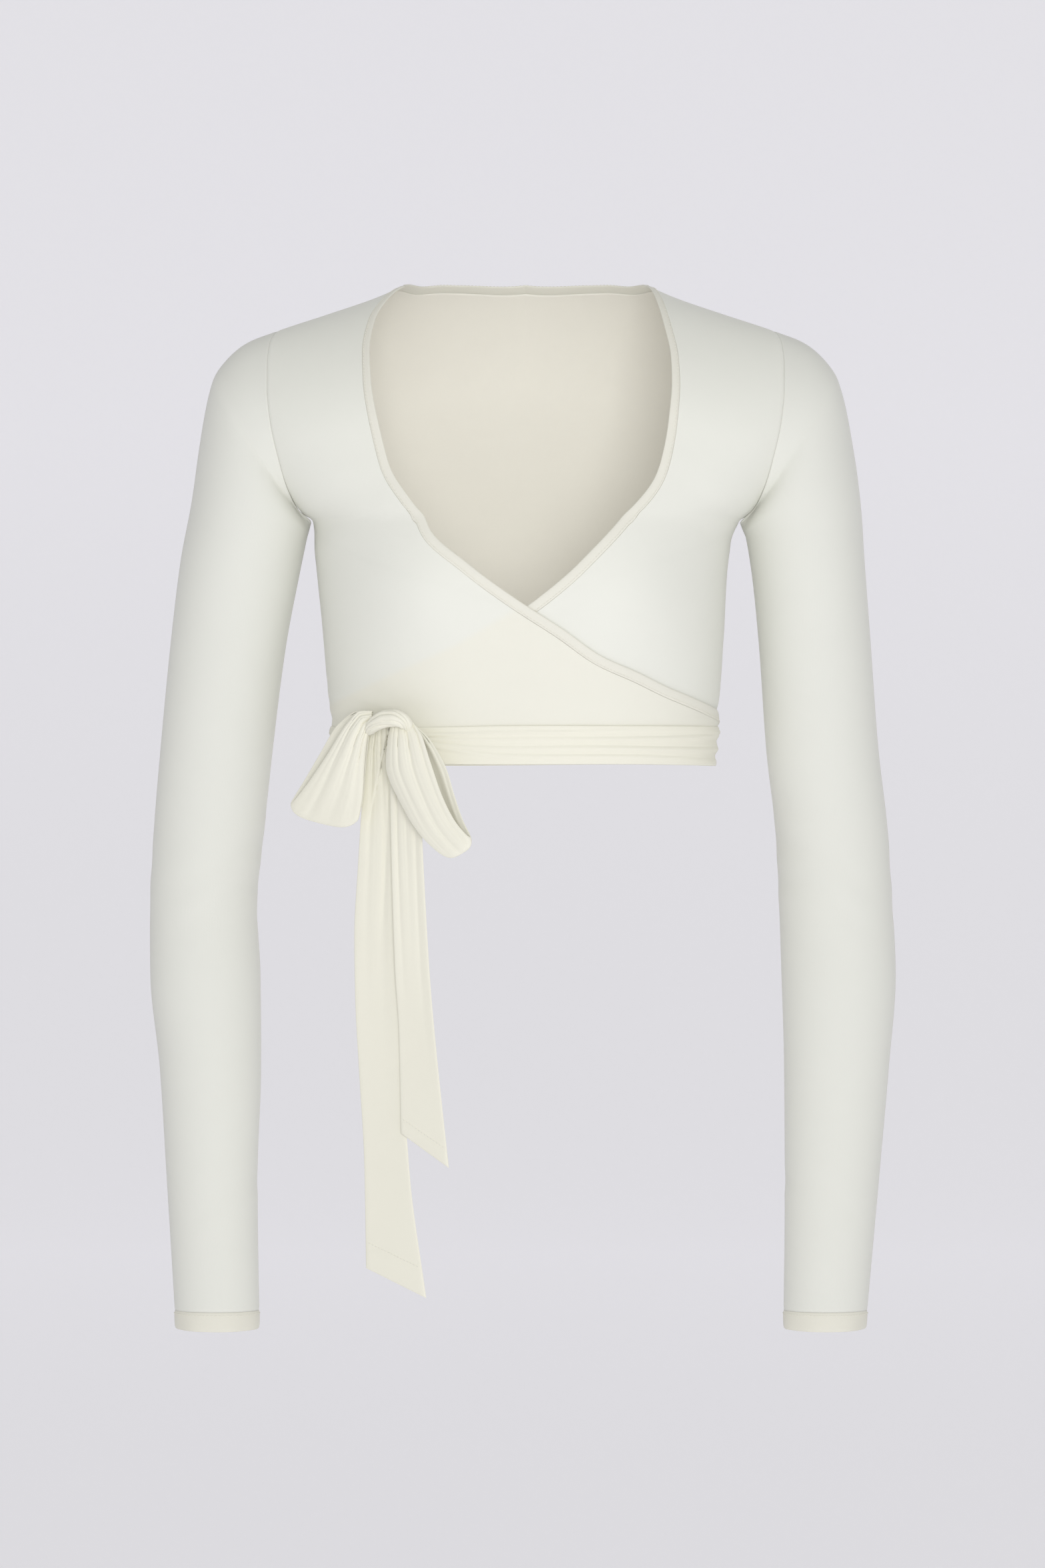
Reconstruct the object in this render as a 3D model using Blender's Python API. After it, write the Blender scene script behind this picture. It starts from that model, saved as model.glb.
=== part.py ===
"""A cropped, long-sleeved wrap top in fine stretch jersey, filled out and tied in a bow at the waist.

Metres, +Z up. The wearer would face -Y, so the wearer's right is at -X and their left at +X. The origin
is where the shoulders carry the top: midway between the two shoulder seams, at their mean height.

Each panel is a cloth wall on one body form. A place on that form has two coordinates:
    around  the angle about the body, 0 at the centre front, +90 degrees at the wearer's left side
    down    the angle over the rounded shoulder, which runs on below it at the same rate, straight down.
            Lines of equal down follow the shoulder line at the top and are level from the chest down
"""

from collections import namedtuple
from math import pi, radians, tan

import bmesh
import bpy
import numpy as np

# ---------------------------------------------------------------- sizes that drive the rest
WALL = 0.0012  # the jersey's wall
BINDING_WALL = 0.0016  # the folded binding of the neckline
TIE_WALL = 0.0014  # the tie, folded double
CUFF_WALL = 0.0018  # the turned hem of a sleeve
GAP = 0.0003  # between one piece and the next
NECK_BINDING = 0.0068  # width of the fronts' binding
BACK_BINDING = 0.0082  # width of the back neck's binding
CUFF_HEM = 0.0110  # depth of a sleeve's hem
HEM_HEIGHT = -0.2815  # lower edge of the panels
TIE_BOTTOM = -0.2836
TIE_TOP = -0.2592
TIE_FOLD = 0.0008  # how far the tie's long folds stand out
TIE_FOLDS = 3
TIE_START = radians(-43.8)  # the tie leaves the knot here and comes back to it
SHOULDER_ROUND = 0.080  # height of the round edge from the shoulder seam down to the chest
LEVEL = 2.2  # the down angle from which lines of equal down are level
BOXINESS = 0.12  # how much squarer than an ellipse the body's section is
FULLNESS = 0.013  # the ease of each front over the chest
FULLNESS_PLACE = (0.072, -0.172)  # from the centre, and height
FULLNESS_REACH = (0.044, 0.044)
OUTER_END = radians(116)  # the outer front runs on past the side seam to here
BOW_TURN = radians(30)  # the bow faces this far round towards the wearer's right
SLEEVE_SEAM_FADE = 0.110  # length over which the armhole's outline dies out of the sleeve's rings

LAP = BINDING_WALL + 5 * GAP  # from the under front's middle layer to the outer front's
SEAM_DOWN = GAP / 2 / SHOULDER_ROUND  # a half gap at a shoulder seam, as an angle over the shoulder
SEAM_ANGLE = 0.0014  # a half gap at a side seam, as an angle about the body

# ---------------------------------------------------------------- tables
Section = namedtuple("Section", "height right left front back")
TORSO = (  # half widths on the wearer's right and left, depths in front and behind
    Section(-0.2840, 0.1204, 0.1164, 0.0846, 0.0816),
    Section(-0.2700, 0.1212, 0.1176, 0.0860, 0.0820),
    Section(-0.2550, 0.1224, 0.1198, 0.0884, 0.0828),
    Section(-0.2400, 0.1244, 0.1222, 0.0914, 0.0842),
    Section(-0.2000, 0.1278, 0.1250, 0.0998, 0.0885),
    Section(-0.1650, 0.1313, 0.1268, 0.1052, 0.0930),
    Section(-0.1450, 0.1331, 0.1294, 0.1056, 0.0955),
    Section(-0.1315, 0.1347, 0.1347, 0.1046, 0.0965),
    Section(-0.1240, 0.1440, 0.1440, 0.1036, 0.0970),
    Section(-0.1090, 0.1590, 0.1590, 0.1010, 0.0980),
    Section(-0.0940, 0.1700, 0.1700, 0.0978, 0.0985),
    Section(-0.0690, 0.1840, 0.1840, 0.0916, 0.0975),
    Section(-0.0450, 0.1920, 0.1920, 0.0850, 0.0950),
    Section(0.0000, 0.1970, 0.1970, 0.0730, 0.0880),
    Section(0.0400, 0.1980, 0.1980, 0.0660, 0.0820),
)

Shoulder = namedtuple("Shoulder", "out height")
SHOULDER_LINE = (  # from the middle of the neck out over the shoulder
    Shoulder(0.0000, 0.0400),
    Shoulder(0.0500, 0.0310),
    Shoulder(0.0760, 0.0185),
    Shoulder(0.0945, 0.0104),
    Shoulder(0.1240, 0.0003),
    Shoulder(0.1553, -0.0100),
    Shoulder(0.1747, -0.0175),
    Shoulder(0.1890, -0.0290),
    Shoulder(0.2000, -0.0500),
)

Outline = namedtuple("Outline", "x height")
ARMHOLE = (  # below its top, which is on the shoulder line
    Outline(0.1600, -0.0170),
    Outline(0.1616, -0.0290),
    Outline(0.1615, -0.0445),
    Outline(0.1593, -0.0700),
    Outline(0.1535, -0.0960),
    Outline(0.1480, -0.1130),
    Outline(0.1415, -0.1245),
)
ARMHOLE_TOP = 0.1553
ARMPIT = Outline(0.1341, -0.1315)

OUTER_EDGE = (  # the outer front's edge, from the right of the neck across to the left side
    Outline(-0.0757, None),
    Outline(-0.0837, 0.0118),
    Outline(-0.0939, -0.0053),
    Outline(-0.0971, -0.0274),
    Outline(-0.0956, -0.0493),
    Outline(-0.0909, -0.0734),
    Outline(-0.0842, -0.0989),
    Outline(-0.0723, -0.1184),
    Outline(-0.0592, -0.1383),
    Outline(-0.0365, -0.1593),
    Outline(-0.0045, -0.1827),
    Outline(0.0229, -0.2002),
    Outline(0.0465, -0.2164),
    Outline(0.0684, -0.2261),
    Outline(0.0905, -0.2367),
    Outline(0.1140, -0.2465),
)
UNDER_EDGE = (  # the under front's edge, from the left of the neck across to the right side
    Outline(0.0763, None),
    Outline(0.0814, 0.0088),
    Outline(0.0864, -0.0097),
    Outline(0.0902, -0.0297),
    Outline(0.0889, -0.0663),
    Outline(0.0814, -0.1026),
    Outline(0.0623, -0.1280),
    Outline(0.0348, -0.1576),
    Outline(0.0058, -0.1827),
    Outline(-0.0085, -0.1922),
    Outline(-0.0419, -0.2117),
    Outline(-0.0816, -0.2291),
    Outline(-0.1123, -0.2423),
)
BACK_EDGE = (  # the back neckline, from the left of the neck to the right
    Outline(0.0763, None),
    Outline(0.0640, 0.0195),
    Outline(0.0400, 0.0213),
    Outline(0.0000, 0.0222),
    Outline(-0.0400, 0.0213),
    Outline(-0.0640, 0.0195),
    Outline(-0.0757, None),
)

Ring = namedtuple(
    "Ring", "outer_height outer_right outer_left inner_height inner_right inner_left depth forward"
)
SLEEVE = (  # how far out its outer and inner lines are, its half depth front to back, and how far forward
    Ring(-0.0100, 0.1553, 0.1553, -0.1315, 0.1351, 0.1351, 0.0530, 0.000),
    Ring(-0.0175, 0.1743, 0.1742, -0.1318, 0.1352, 0.1352, 0.0515, 0.000),
    Ring(-0.0285, 0.1874, 0.1872, -0.1323, 0.1354, 0.1354, 0.0500, 0.000),
    Ring(-0.0400, 0.1952, 0.1950, -0.1330, 0.1356, 0.1357, 0.0488, -0.001),
    Ring(-0.0706, 0.2032, 0.2037, -0.1350, 0.1361, 0.1364, 0.0470, -0.002),
    Ring(-0.1210, 0.2109, 0.2112, -0.1400, 0.1375, 0.1385, 0.0440, -0.003),
    Ring(-0.1546, 0.2172, 0.2134, -0.1640, 0.1425, 0.1425, 0.0412, -0.003),
    Ring(-0.2050, 0.2234, 0.2172, -0.2090, 0.1510, 0.1470, 0.0378, -0.002),
    Ring(-0.2722, 0.2300, 0.2222, -0.2750, 0.1595, 0.1517, 0.0352, 0.000),
    Ring(-0.3226, 0.2342, 0.2280, -0.3240, 0.1646, 0.1572, 0.0344, 0.001),
    Ring(-0.3730, 0.2368, 0.2314, -0.3735, 0.1693, 0.1598, 0.0342, 0.000),
    Ring(-0.4150, 0.2364, 0.2331, -0.4150, 0.1670, 0.1611, 0.0338, -0.003),
    Ring(-0.4738, 0.2302, 0.2285, -0.4738, 0.1664, 0.1626, 0.0312, -0.008),
    Ring(-0.5410, 0.2256, 0.2222, -0.5410, 0.1684, 0.1628, 0.0284, -0.015),
    Ring(-0.6362, 0.2192, 0.2130, -0.6362, 0.1668, 0.1615, 0.0250, -0.026),
)

Strip = namedtuple("Strip", "left_x left_height right_x right_height out")
TAIL_LONG = (  # its two edges going down, and how far it stands out from the bow's own plane
    Strip(-0.0990, -0.2680, -0.0850, -0.2680, 0.0024),
    Strip(-0.1012, -0.3000, -0.0800, -0.3000, 0.0024),
    Strip(-0.1042, -0.3450, -0.0775, -0.3450, 0.0024),
    Strip(-0.1066, -0.3900, -0.0770, -0.3900, 0.0024),
    Strip(-0.1060, -0.4300, -0.0768, -0.4300, 0.0024),
    Strip(-0.1034, -0.4780, -0.0755, -0.4800, 0.0024),
    Strip(-0.1004, -0.5300, -0.0716, -0.5400, 0.0024),
    Strip(-0.0992, -0.5965, -0.0615, -0.6135, 0.0024),
)
TAIL_SHORT = (
    Strip(-0.0835, -0.2680, -0.0700, -0.2680, 0.0060),
    Strip(-0.0840, -0.3000, -0.0655, -0.3000, 0.0060),
    Strip(-0.0830, -0.3500, -0.0630, -0.3500, 0.0060),
    Strip(-0.0810, -0.4100, -0.0592, -0.4150, 0.0060),
    Strip(-0.0785, -0.4500, -0.0552, -0.4600, 0.0060),
    Strip(-0.0772, -0.5120, -0.0474, -0.5325, 0.0060),
)
TAIL_FOLD = 0.0007  # height of the tails' lengthwise folds

LOOP_LEFT = (  # front layer from the knot to the turn; out is then half the depth of the hollow
    Strip(-0.1010, -0.2505, -0.0985, -0.2600, 0.0030),
    Strip(-0.1128, -0.2585, -0.0995, -0.2700, 0.0045),
    Strip(-0.1245, -0.2770, -0.1005, -0.2850, 0.0058),
    Strip(-0.1350, -0.2945, -0.1020, -0.3010, 0.0065),
    Strip(-0.1445, -0.3118, -0.1085, -0.3205, 0.0065),
)
LOOP_RIGHT = (
    Strip(-0.0845, -0.2680, -0.0660, -0.2655, 0.0030),
    Strip(-0.0862, -0.2850, -0.0580, -0.2820, 0.0045),
    Strip(-0.0768, -0.3110, -0.0475, -0.3010, 0.0058),
    Strip(-0.0675, -0.3255, -0.0390, -0.3145, 0.0065),
    Strip(-0.0545, -0.3390, -0.0325, -0.3280, 0.0065),
)
LOOP_OUT = 0.0152  # middle of the loops' hollow from the bow's plane
KNOT_PLACE = (-0.0815, 0.0125, -0.2572)  # across, out from the bow's plane, height
KNOT_HALF = (0.0165, 0.0085, 0.0082)
KNOT_TILT = radians(8)
BOW_PLACE = (-0.0830, -0.0703)  # where the bow's plane passes, across and front to back

# how many facets
ARMHOLE_STEPS = 8
SIDE_STEPS = 12
FRONT_STEPS = 16
BACK_STEPS = 18
SHOULDER_STEPS = 3
CAP_STEPS = 7
ARM_STEPS = 10
TIE_STEPS = 42
TIE_ROWS = 7
LOOP_STEPS = 16
LOOP_ROWS = 4
TAIL_STEPS = 12
TAIL_ROWS = 5

# the cloth
JERSEY = (0.815, 0.823, 0.768, 1)
DOUBLED = (0.855, 0.838, 0.745, 1)
BINDING = (0.807, 0.787, 0.680, 1)
ROUGHNESS = 0.85


# ---------------------------------------------------------------- curves
def smooth(knots, values, at):
    """A smooth curve through the values at rising knots, with no overshoot, read at the given places."""
    knots, values = np.asarray(knots, float), np.asarray(values, float)
    steps = np.diff(values) / np.diff(knots)
    before, after = steps[:-1], steps[1:]
    same_way = before * after > 0
    slopes = np.concatenate([steps[:1], np.zeros(len(before)), steps[-1:]])
    slopes[1:-1][same_way] = (2 * before * after)[same_way] / (before + after)[same_way]
    at = np.clip(at, knots[0], knots[-1])
    i = np.clip(np.searchsorted(knots, at) - 1, 0, len(knots) - 2)
    span = knots[i + 1] - knots[i]
    t = (at - knots[i]) / span
    rise = values[i] + t * t * (3 - 2 * t) * (values[i + 1] - values[i])
    return rise + span * t * (1 - t) * ((1 - t) * slopes[i] - t * slopes[i + 1])


def column(table, name, at):
    """A named column of a table, read smoothly at places along its first column."""
    return smooth([row[0] for row in table], [getattr(row, name) for row in table], at)


def step(low, high, at):
    """0 below low, 1 above high, and eased between them."""
    t = np.clip((at - low) / (high - low), 0, 1)
    return t * t * (3 - 2 * t)


def lengths(points):
    """How far along a line of points each one is."""
    return np.concatenate([[0], np.cumsum(np.linalg.norm(np.diff(points, axis=0), axis=1))])


# ---------------------------------------------------------------- the body form
def shoulder_height(x):
    return column(SHOULDER_LINE, "height", np.abs(x)) - WALL / 2


def half_width(side, z):
    return np.where(side < 0, column(TORSO, "right", z), column(TORSO, "left", z)) - WALL / 2


def height_at(x, down):
    """The height of the place that far down, at x."""
    turn = np.abs(down)
    fall = SHOULDER_ROUND * np.where(turn < pi / 2, 1 - np.cos(down), 1 + turn - pi / 2)
    return shoulder_height(x) * (1 - step(0, LEVEL, down)) - fall


def down_at(x, z):
    """How far down the place at x and that height is, found by halving."""
    x, z = np.broadcast_arrays(np.asarray(x, float), np.asarray(z, float))
    low, high = np.zeros(x.shape), np.full(x.shape, 8.0)
    for _ in range(45):
        middle = (low + high) / 2
        too_high = height_at(x, middle) > z
        low, high = np.where(too_high, middle, low), np.where(too_high, high, middle)
    return (low + high) / 2


def form(around, down):
    """Points of the body form, which is the middle layer of the panels."""
    around, down = np.broadcast_arrays(np.asarray(around, float), np.asarray(down, float))
    x = np.zeros_like(around)
    for _ in range(30):
        z = height_at(x, down)
        x = half_width(np.sin(around), z) * np.sin(around)
    drop = np.clip((shoulder_height(x) - z) / SHOULDER_ROUND, 0, 1)
    over = np.sign(down) * np.sqrt(1 - (1 - drop) ** 2)
    facing = np.cos(around)
    depth = np.where(facing > 0, column(TORSO, "front", z), column(TORSO, "back", z))
    y = -depth * facing * (1 + BOXINESS * np.sin(around) ** 2) * over
    off_centre = (np.abs(x) - FULLNESS_PLACE[0]) / FULLNESS_REACH[0]
    off_height = (z - FULLNESS_PLACE[1]) / FULLNESS_REACH[1]
    y = y - FULLNESS * np.clip(facing, 0, 1) * np.exp(-(off_centre**2) - off_height**2)
    return np.stack([x, y, z], axis=-1)


def form_normals(around, down):
    """Unit vectors out of the form."""
    small = 1e-3
    across = form(around + small, down) - form(around - small, down)
    along = form(around, down + small) - form(around, down - small)
    normals = np.cross(along, across)
    return normals / np.linalg.norm(normals, axis=-1, keepdims=True)


def on_form(x, z, back=False):
    """The form's coordinates of the place at x and z, in front or behind. No height is the shoulder line."""
    x = np.asarray(x, float)
    z = np.array([shoulder_height(a) if b is None else b for a, b in zip(x, z)], float)
    around = np.arcsin(np.clip(x / half_width(x, z), -1, 1))
    return np.column_stack([pi - around if back else around, down_at(x, z)])


def at_height(around, z):
    """The form's coordinates at an angle about the body and a height."""
    return np.column_stack([around, down_at(half_width(np.sin(around), z) * np.sin(around), z)])


def path(places):
    """A dense smooth line through places on the form."""
    run = lengths(form(*places.T))
    at = np.linspace(0, run[-1], 400)
    return np.column_stack([smooth(run, values, at) for values in places.T])


def spaced(line, count):
    """That many places evenly along a line on the form."""
    run = lengths(form(*line.T))
    at = np.linspace(0, run[-1], count)
    return np.column_stack([np.interp(at, run, values) for values in line.T])


def beside(line, distance):
    """The line moved sideways on the form, to the right of its own direction as seen from outside."""
    small = 1e-3
    around, down = line.T
    tangent = np.gradient(form(around, down), axis=0)
    by_around = (form(around + small, down) - form(around - small, down)) / (2 * small)
    by_down = (form(around, down + small) - form(around, down - small)) / (2 * small)
    move_around = np.sum(by_down * tangent, axis=1)
    move_down = -np.sum(by_around * tangent, axis=1)
    moved = by_around * move_around[:, None] + by_down * move_down[:, None]
    scale = distance / np.linalg.norm(moved, axis=1)
    beyond = line + np.column_stack([move_around * scale, move_down * scale])
    on_seam = down < 2 * SEAM_DOWN
    beyond[on_seam, 1] = down[on_seam]
    return beyond


# ---------------------------------------------------------------- making solids
def material(name, colour):
    made = bpy.data.materials.new(name)
    made.use_nodes = True
    shader = made.node_tree.nodes["Principled BSDF"]
    shader.inputs["Base Color"].default_value = colour
    shader.inputs["Roughness"].default_value = ROUGHNESS
    shader.inputs["Metallic"].default_value = 0.0
    return made


def finish(name, mesh, colour):
    """The named object of a finished bmesh, in cloth of its own, with its quads split the short way."""
    bmesh.ops.triangulate(mesh, faces=mesh.faces, quad_method="SHORT_EDGE")
    bmesh.ops.recalc_face_normals(mesh, faces=mesh.faces)
    data = bpy.data.meshes.new(name)
    mesh.to_mesh(data)
    mesh.free()
    data.shade_smooth()
    data.set_sharp_from_angle(angle=radians(40))
    data.materials.append(material(name + "_cloth", colour))
    made = bpy.data.objects.new(name, data)
    bpy.context.scene.collection.objects.link(made)
    return made


def cloth(name, points, normals, wall, colour, looped=False):
    """A closed wall of cloth about a grid of points. A looped one is joined round from last to first."""
    mesh = bmesh.new()
    rows, columns = points.shape[:2]
    outside, inside = (
        [[mesh.verts.new(point) for point in row] for row in points + normals * wall * side]
        for side in (0.5, -0.5)
    )
    last = columns if looped else columns - 1
    for r in range(rows - 1):
        for c in range(last):
            n = (c + 1) % columns
            for layer in (outside, inside):
                mesh.faces.new((layer[r][c], layer[r][n], layer[r + 1][n], layer[r + 1][c]))
    for c in range(last):
        n = (c + 1) % columns
        for r in (0, rows - 1):
            mesh.faces.new((outside[r][c], outside[r][n], inside[r][n], inside[r][c]))
    for r in range(0 if looped else rows - 1):
        for c in (0, columns - 1):
            mesh.faces.new((outside[r][c], outside[r + 1][c], inside[r + 1][c], inside[r][c]))
    return finish(name, mesh, colour)


def grid_normals(points, looped=False):
    """Unit vectors across a grid of points, from its own rows and columns."""
    down = np.gradient(points, axis=0)
    if looped:
        across = np.roll(points, -1, axis=1) - np.roll(points, 1, axis=1)
    else:
        across = np.gradient(points, axis=1)
    normals = np.cross(down, across)
    return normals / np.linalg.norm(normals, axis=-1, keepdims=True)


def filled(top, bottom, first, last):
    """The grid of places between four lines: first and last run down, top and bottom run across."""
    fallen = first[:, 1] - first[0, 1]
    v = (fallen / fallen[-1])[:, None, None]
    u = np.linspace(0, 1, len(top))[None, :, None]
    across = (1 - u) * first[:, None] + u * last[:, None]
    along = (1 - v) * top[None] + v * bottom[None]
    corners = (1 - v) * ((1 - u) * first[0] + u * last[0]) + v * ((1 - u) * first[-1] + u * last[-1])
    return across + along - corners


def lap_share(x):
    """How much of the lap the outer front is lifted, the rest being how far the under front sinks."""
    return step(-0.02, 0.06, x)


def flat_lift(points):
    return np.zeros(points.shape[:-1])


def outer_lift(points):
    return LAP * lap_share(points[..., 0])


def under_lift(points):
    return LAP * (lap_share(points[..., 0]) - 1)


def panel(name, places, lift, wall, colour):
    """A wall of cloth over a grid of places on the form, lifted off it."""
    around, down = places[..., 0], places[..., 1]
    points = form(around, down)
    normals = form_normals(around, down)
    return cloth(name, points + normals * lift(points)[..., None], normals, wall, colour)


# ---------------------------------------------------------------- the panels' edges
def armhole(side, back, count, shift=0.0):
    """The armhole from the shoulder to the armpit. side is +1 at the wearer's left."""
    rows = [(ARMHOLE_TOP, None), *ARMHOLE, ARMPIT]
    x = np.array([side * (row[0] + shift) for row in rows])
    return spaced(path(on_form(x, [row[1] for row in rows], back)), count)


def side_seam(side, back):
    """The side seam from the armpit to the hem."""
    around = side * (pi / 2 - SEAM_ANGLE) if not back else pi - side * (pi / 2 - SEAM_ANGLE)
    heights = np.linspace(ARMPIT.height, HEM_HEIGHT, SIDE_STEPS + 1)
    return at_height(np.full(len(heights), around), heights)


def outside_edge(side, back=False):
    """A panel's armhole and side seam, as one line, half a gap clear of its neighbours."""
    line = np.concatenate([armhole(side, back, ARMHOLE_STEPS + 1, -GAP / 2)[:-1], side_seam(side, back)])
    seam = pi / 2 + SEAM_ANGLE if back else SEAM_ANGLE - pi / 2
    other = 2 * pi - seam if back else -seam
    line[:, 0] = np.clip(line[:, 0], seam, other)
    line[0, 1] = SEAM_DOWN
    return line


def across_body(first, last, count):
    """The hem line between two places at one height."""
    around = np.linspace(first[0], last[0], count)
    return at_height(around, np.full(count, HEM_HEIGHT))


def shoulder_seam(first, last, count):
    return np.column_stack([np.linspace(first[i], last[i], count) for i in (0, 1)])


def neck_line(table, back=False, beyond=()):
    """A neckline edge, half a gap clear of each shoulder seam that it meets, and any places beyond it."""
    places = on_form([row.x for row in table], [row.height for row in table], back)
    places[:, 1] = np.maximum(places[:, 1], SEAM_DOWN)
    for around, height in beyond:
        places = np.concatenate([places, at_height(np.array([around]), np.array([height]))])
    return path(places)


# ---------------------------------------------------------------- the pieces
def make_front(name, binding_name, side, line, lift, colour, binding_colour):
    """A front, from its shoulder down, between its armhole side and its wrapped edge, and its binding."""
    outside = outside_edge(side)
    edge = spaced(line, len(outside) - 1)
    inner = beside(edge, side * NECK_BINDING)
    panel(binding_name, np.stack([edge, inner], axis=1), lift, BINDING_WALL, binding_colour)
    inner = beside(edge, side * (NECK_BINDING + GAP))
    corner = at_height(inner[-1:, 0], np.array([HEM_HEIGHT]))
    inner = np.concatenate([inner, corner])
    top = shoulder_seam(outside[0], inner[0], FRONT_STEPS + 1)
    bottom = across_body(outside[-1], inner[-1], FRONT_STEPS + 1)
    panel(name, filled(top, bottom, outside, inner), lift, WALL, colour)


def make_back(colour, binding_colour):
    """The back, from its shoulders and straight neck down to the hem, and its neck binding."""
    left, right = outside_edge(1, back=True), outside_edge(-1, back=True)
    edge = spaced(neck_line(BACK_EDGE, back=True), BACK_STEPS - 2 * SHOULDER_STEPS + 1)
    lower = beside(edge, -BACK_BINDING)
    panel("neck_binding_back", np.stack([edge, lower]), flat_lift, BINDING_WALL, binding_colour)
    lower = beside(edge, -(BACK_BINDING + GAP))
    top = np.concatenate(
        [
            shoulder_seam(left[0], lower[0], SHOULDER_STEPS + 1)[:-1],
            lower,
            shoulder_seam(lower[-1], right[0], SHOULDER_STEPS + 1)[1:],
        ]
    )
    bottom = across_body(left[-1], right[-1], BACK_STEPS + 1)
    panel("back", filled(top, bottom, left, right), flat_lift, WALL, colour)


def sleeve_grid(side, run, count):
    """Points of a sleeve's middle layer: rings at distances along its outer line, each of that many points."""
    name = "left" if side > 0 else "right"
    outer = np.array([(getattr(row, "outer_" + name) - WALL / 2, row.outer_height) for row in SLEEVE])
    inner = np.array([(getattr(row, "inner_" + name) + WALL / 2, row.inner_height) for row in SLEEVE])
    knots = lengths(outer)
    read = [smooth(knots, values, run)[:, None] for values in (*outer.T, *inner.T)]
    depth = smooth(knots, [row.depth for row in SLEEVE], run)[:, None]
    forward = smooth(knots, [row.forward for row in SLEEVE], run)[:, None]
    turn = np.linspace(0, 2 * pi, count, endpoint=False)[None, :]
    x = (read[0] + read[2]) / 2 + (read[0] - read[2]) / 2 * np.cos(turn)
    z = (read[1] + read[3]) / 2 + (read[1] - read[3]) / 2 * np.cos(turn)
    y = forward - (depth - WALL / 2) * np.sin(turn)
    return np.stack(np.broadcast_arrays(side * x, y, z), axis=-1), knots[-1]


def armhole_ring(side, half):
    """The armhole all round, from the shoulder down the front to the armpit and up the back."""
    front = form(*armhole(side, False, half + 1).T)
    back = form(*armhole(side, True, half + 1).T)
    ring = np.concatenate([front, back[-2:0:-1]])
    low = (1 - np.cos(np.linspace(0, 2 * pi, 2 * half, endpoint=False))) / 2
    ring[:, 0] += side * (GAP / 2 + (WALL + GAP) * low**8)
    return ring


def make_sleeve(name, cuff_name, side, colour, cuff_colour):
    """A set-in sleeve whose first ring is the armhole, and its turned hem."""
    around = 2 * ARMHOLE_STEPS
    _, whole = sleeve_grid(side, np.array([0.0]), around)
    cap = np.linspace(0, 0.125, CAP_STEPS + 1)[:-1]
    arm = np.linspace(0.125, whole - CUFF_HEM - GAP, ARM_STEPS + 1)
    run = np.concatenate([cap, arm])
    points, _ = sleeve_grid(side, run, around)
    first, _ = sleeve_grid(side, np.array([0.0]), around)
    fade = 1 - step(0, SLEEVE_SEAM_FADE, run)
    points = points + (armhole_ring(side, ARMHOLE_STEPS) - first[0]) * fade[:, None, None]
    cloth(name, points, side * grid_normals(points, looped=True), WALL, colour, looped=True)
    cuff, _ = sleeve_grid(side, np.array([whole - CUFF_HEM, whole]), around)
    cloth(cuff_name, cuff, side * grid_normals(cuff, looped=True), CUFF_WALL, cuff_colour, looped=True)


def make_waist_tie(colour):
    """The tie from the knot right round the waist and back, in long folds."""
    around = TIE_START + np.linspace(SEAM_ANGLE, 2 * pi - SEAM_ANGLE, TIE_STEPS + 1)
    share = np.linspace(0, 1, TIE_ROWS + 1)
    heights = TIE_BOTTOM + share * (TIE_TOP - TIE_BOTTOM)
    places = np.stack([at_height(around, np.full(len(around), z)) for z in heights])
    points = form(places[..., 0], places[..., 1])
    normals = form_normals(places[..., 0], places[..., 1])
    clear = (WALL + TIE_WALL) / 2 + 2 * GAP
    fold = TIE_FOLD * (1 - np.cos(2 * pi * TIE_FOLDS * share)) / 2
    lift = clear + LAP * lap_share(points[..., 0]) + fold[:, None]
    cloth("waist_tie", points + normals * lift[..., None], normals, TIE_WALL, colour)


def in_bow(x, out, z):
    """A point of the bow, at x and z as seen from the front and that far out from the bow's plane."""
    plane = BOW_PLACE[1] - (x - BOW_PLACE[0]) * tan(BOW_TURN)
    return np.stack(np.broadcast_arrays(x, plane - out, z), axis=-1)


def strip_edges(table, at):
    """A strip's two edges and its out column, read at shares of the way down its table."""
    knots = np.linspace(0, 1, len(table))
    return [smooth(knots, [getattr(row, name) for row in table], at)[:, None] for name in Strip._fields]


def make_tail(name, table, colour):
    """A free end of the tie, with folds down its length."""
    at = np.linspace(0, 1, TAIL_STEPS + 1)
    left_x, left_z, right_x, right_z, out = strip_edges(table, at)
    u = np.linspace(0, 1, TAIL_ROWS + 1)[None, :]
    fold = TAIL_FOLD * np.cos(3 * pi * u) * (1 - 0.5 * at[:, None])
    points = in_bow(left_x + u * (right_x - left_x), out + fold, left_z + u * (right_z - left_z))
    cloth(name, points, grid_normals(points), TIE_WALL, colour)


def make_loop(name, table, colour):
    """A hollow loop of the bow: out from the knot in front, round the turn, and back behind."""
    turn = np.linspace(0, pi, LOOP_STEPS + 1)
    at = np.sin(turn)
    left_x, left_z, right_x, right_z, half = strip_edges(table, at)
    u = np.linspace(0, 1, LOOP_ROWS + 1)[None, :]
    out = LOOP_OUT + half * np.cos(turn)[:, None]
    points = in_bow(left_x + u * (right_x - left_x), out, left_z + u * (right_z - left_z))
    cloth(name, points, grid_normals(points), TIE_WALL, colour)


def make_knot(colour):
    """The knot: a rounded roll of cloth across the roots of the loops."""
    mesh = bmesh.new()
    bmesh.ops.create_uvsphere(mesh, u_segments=16, v_segments=10, radius=1)
    x, out, z = KNOT_PLACE
    centre = in_bow(np.array(x), out, z)
    for vert in mesh.verts:
        across, deep, high = (vert.co[i] * KNOT_HALF[i] for i in range(3))
        vert.co.x = centre[0] + across
        vert.co.y = centre[1] + deep - across * tan(BOW_TURN)
        vert.co.z = centre[2] + high - across * tan(KNOT_TILT)
    finish("knot", mesh, colour)


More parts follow.
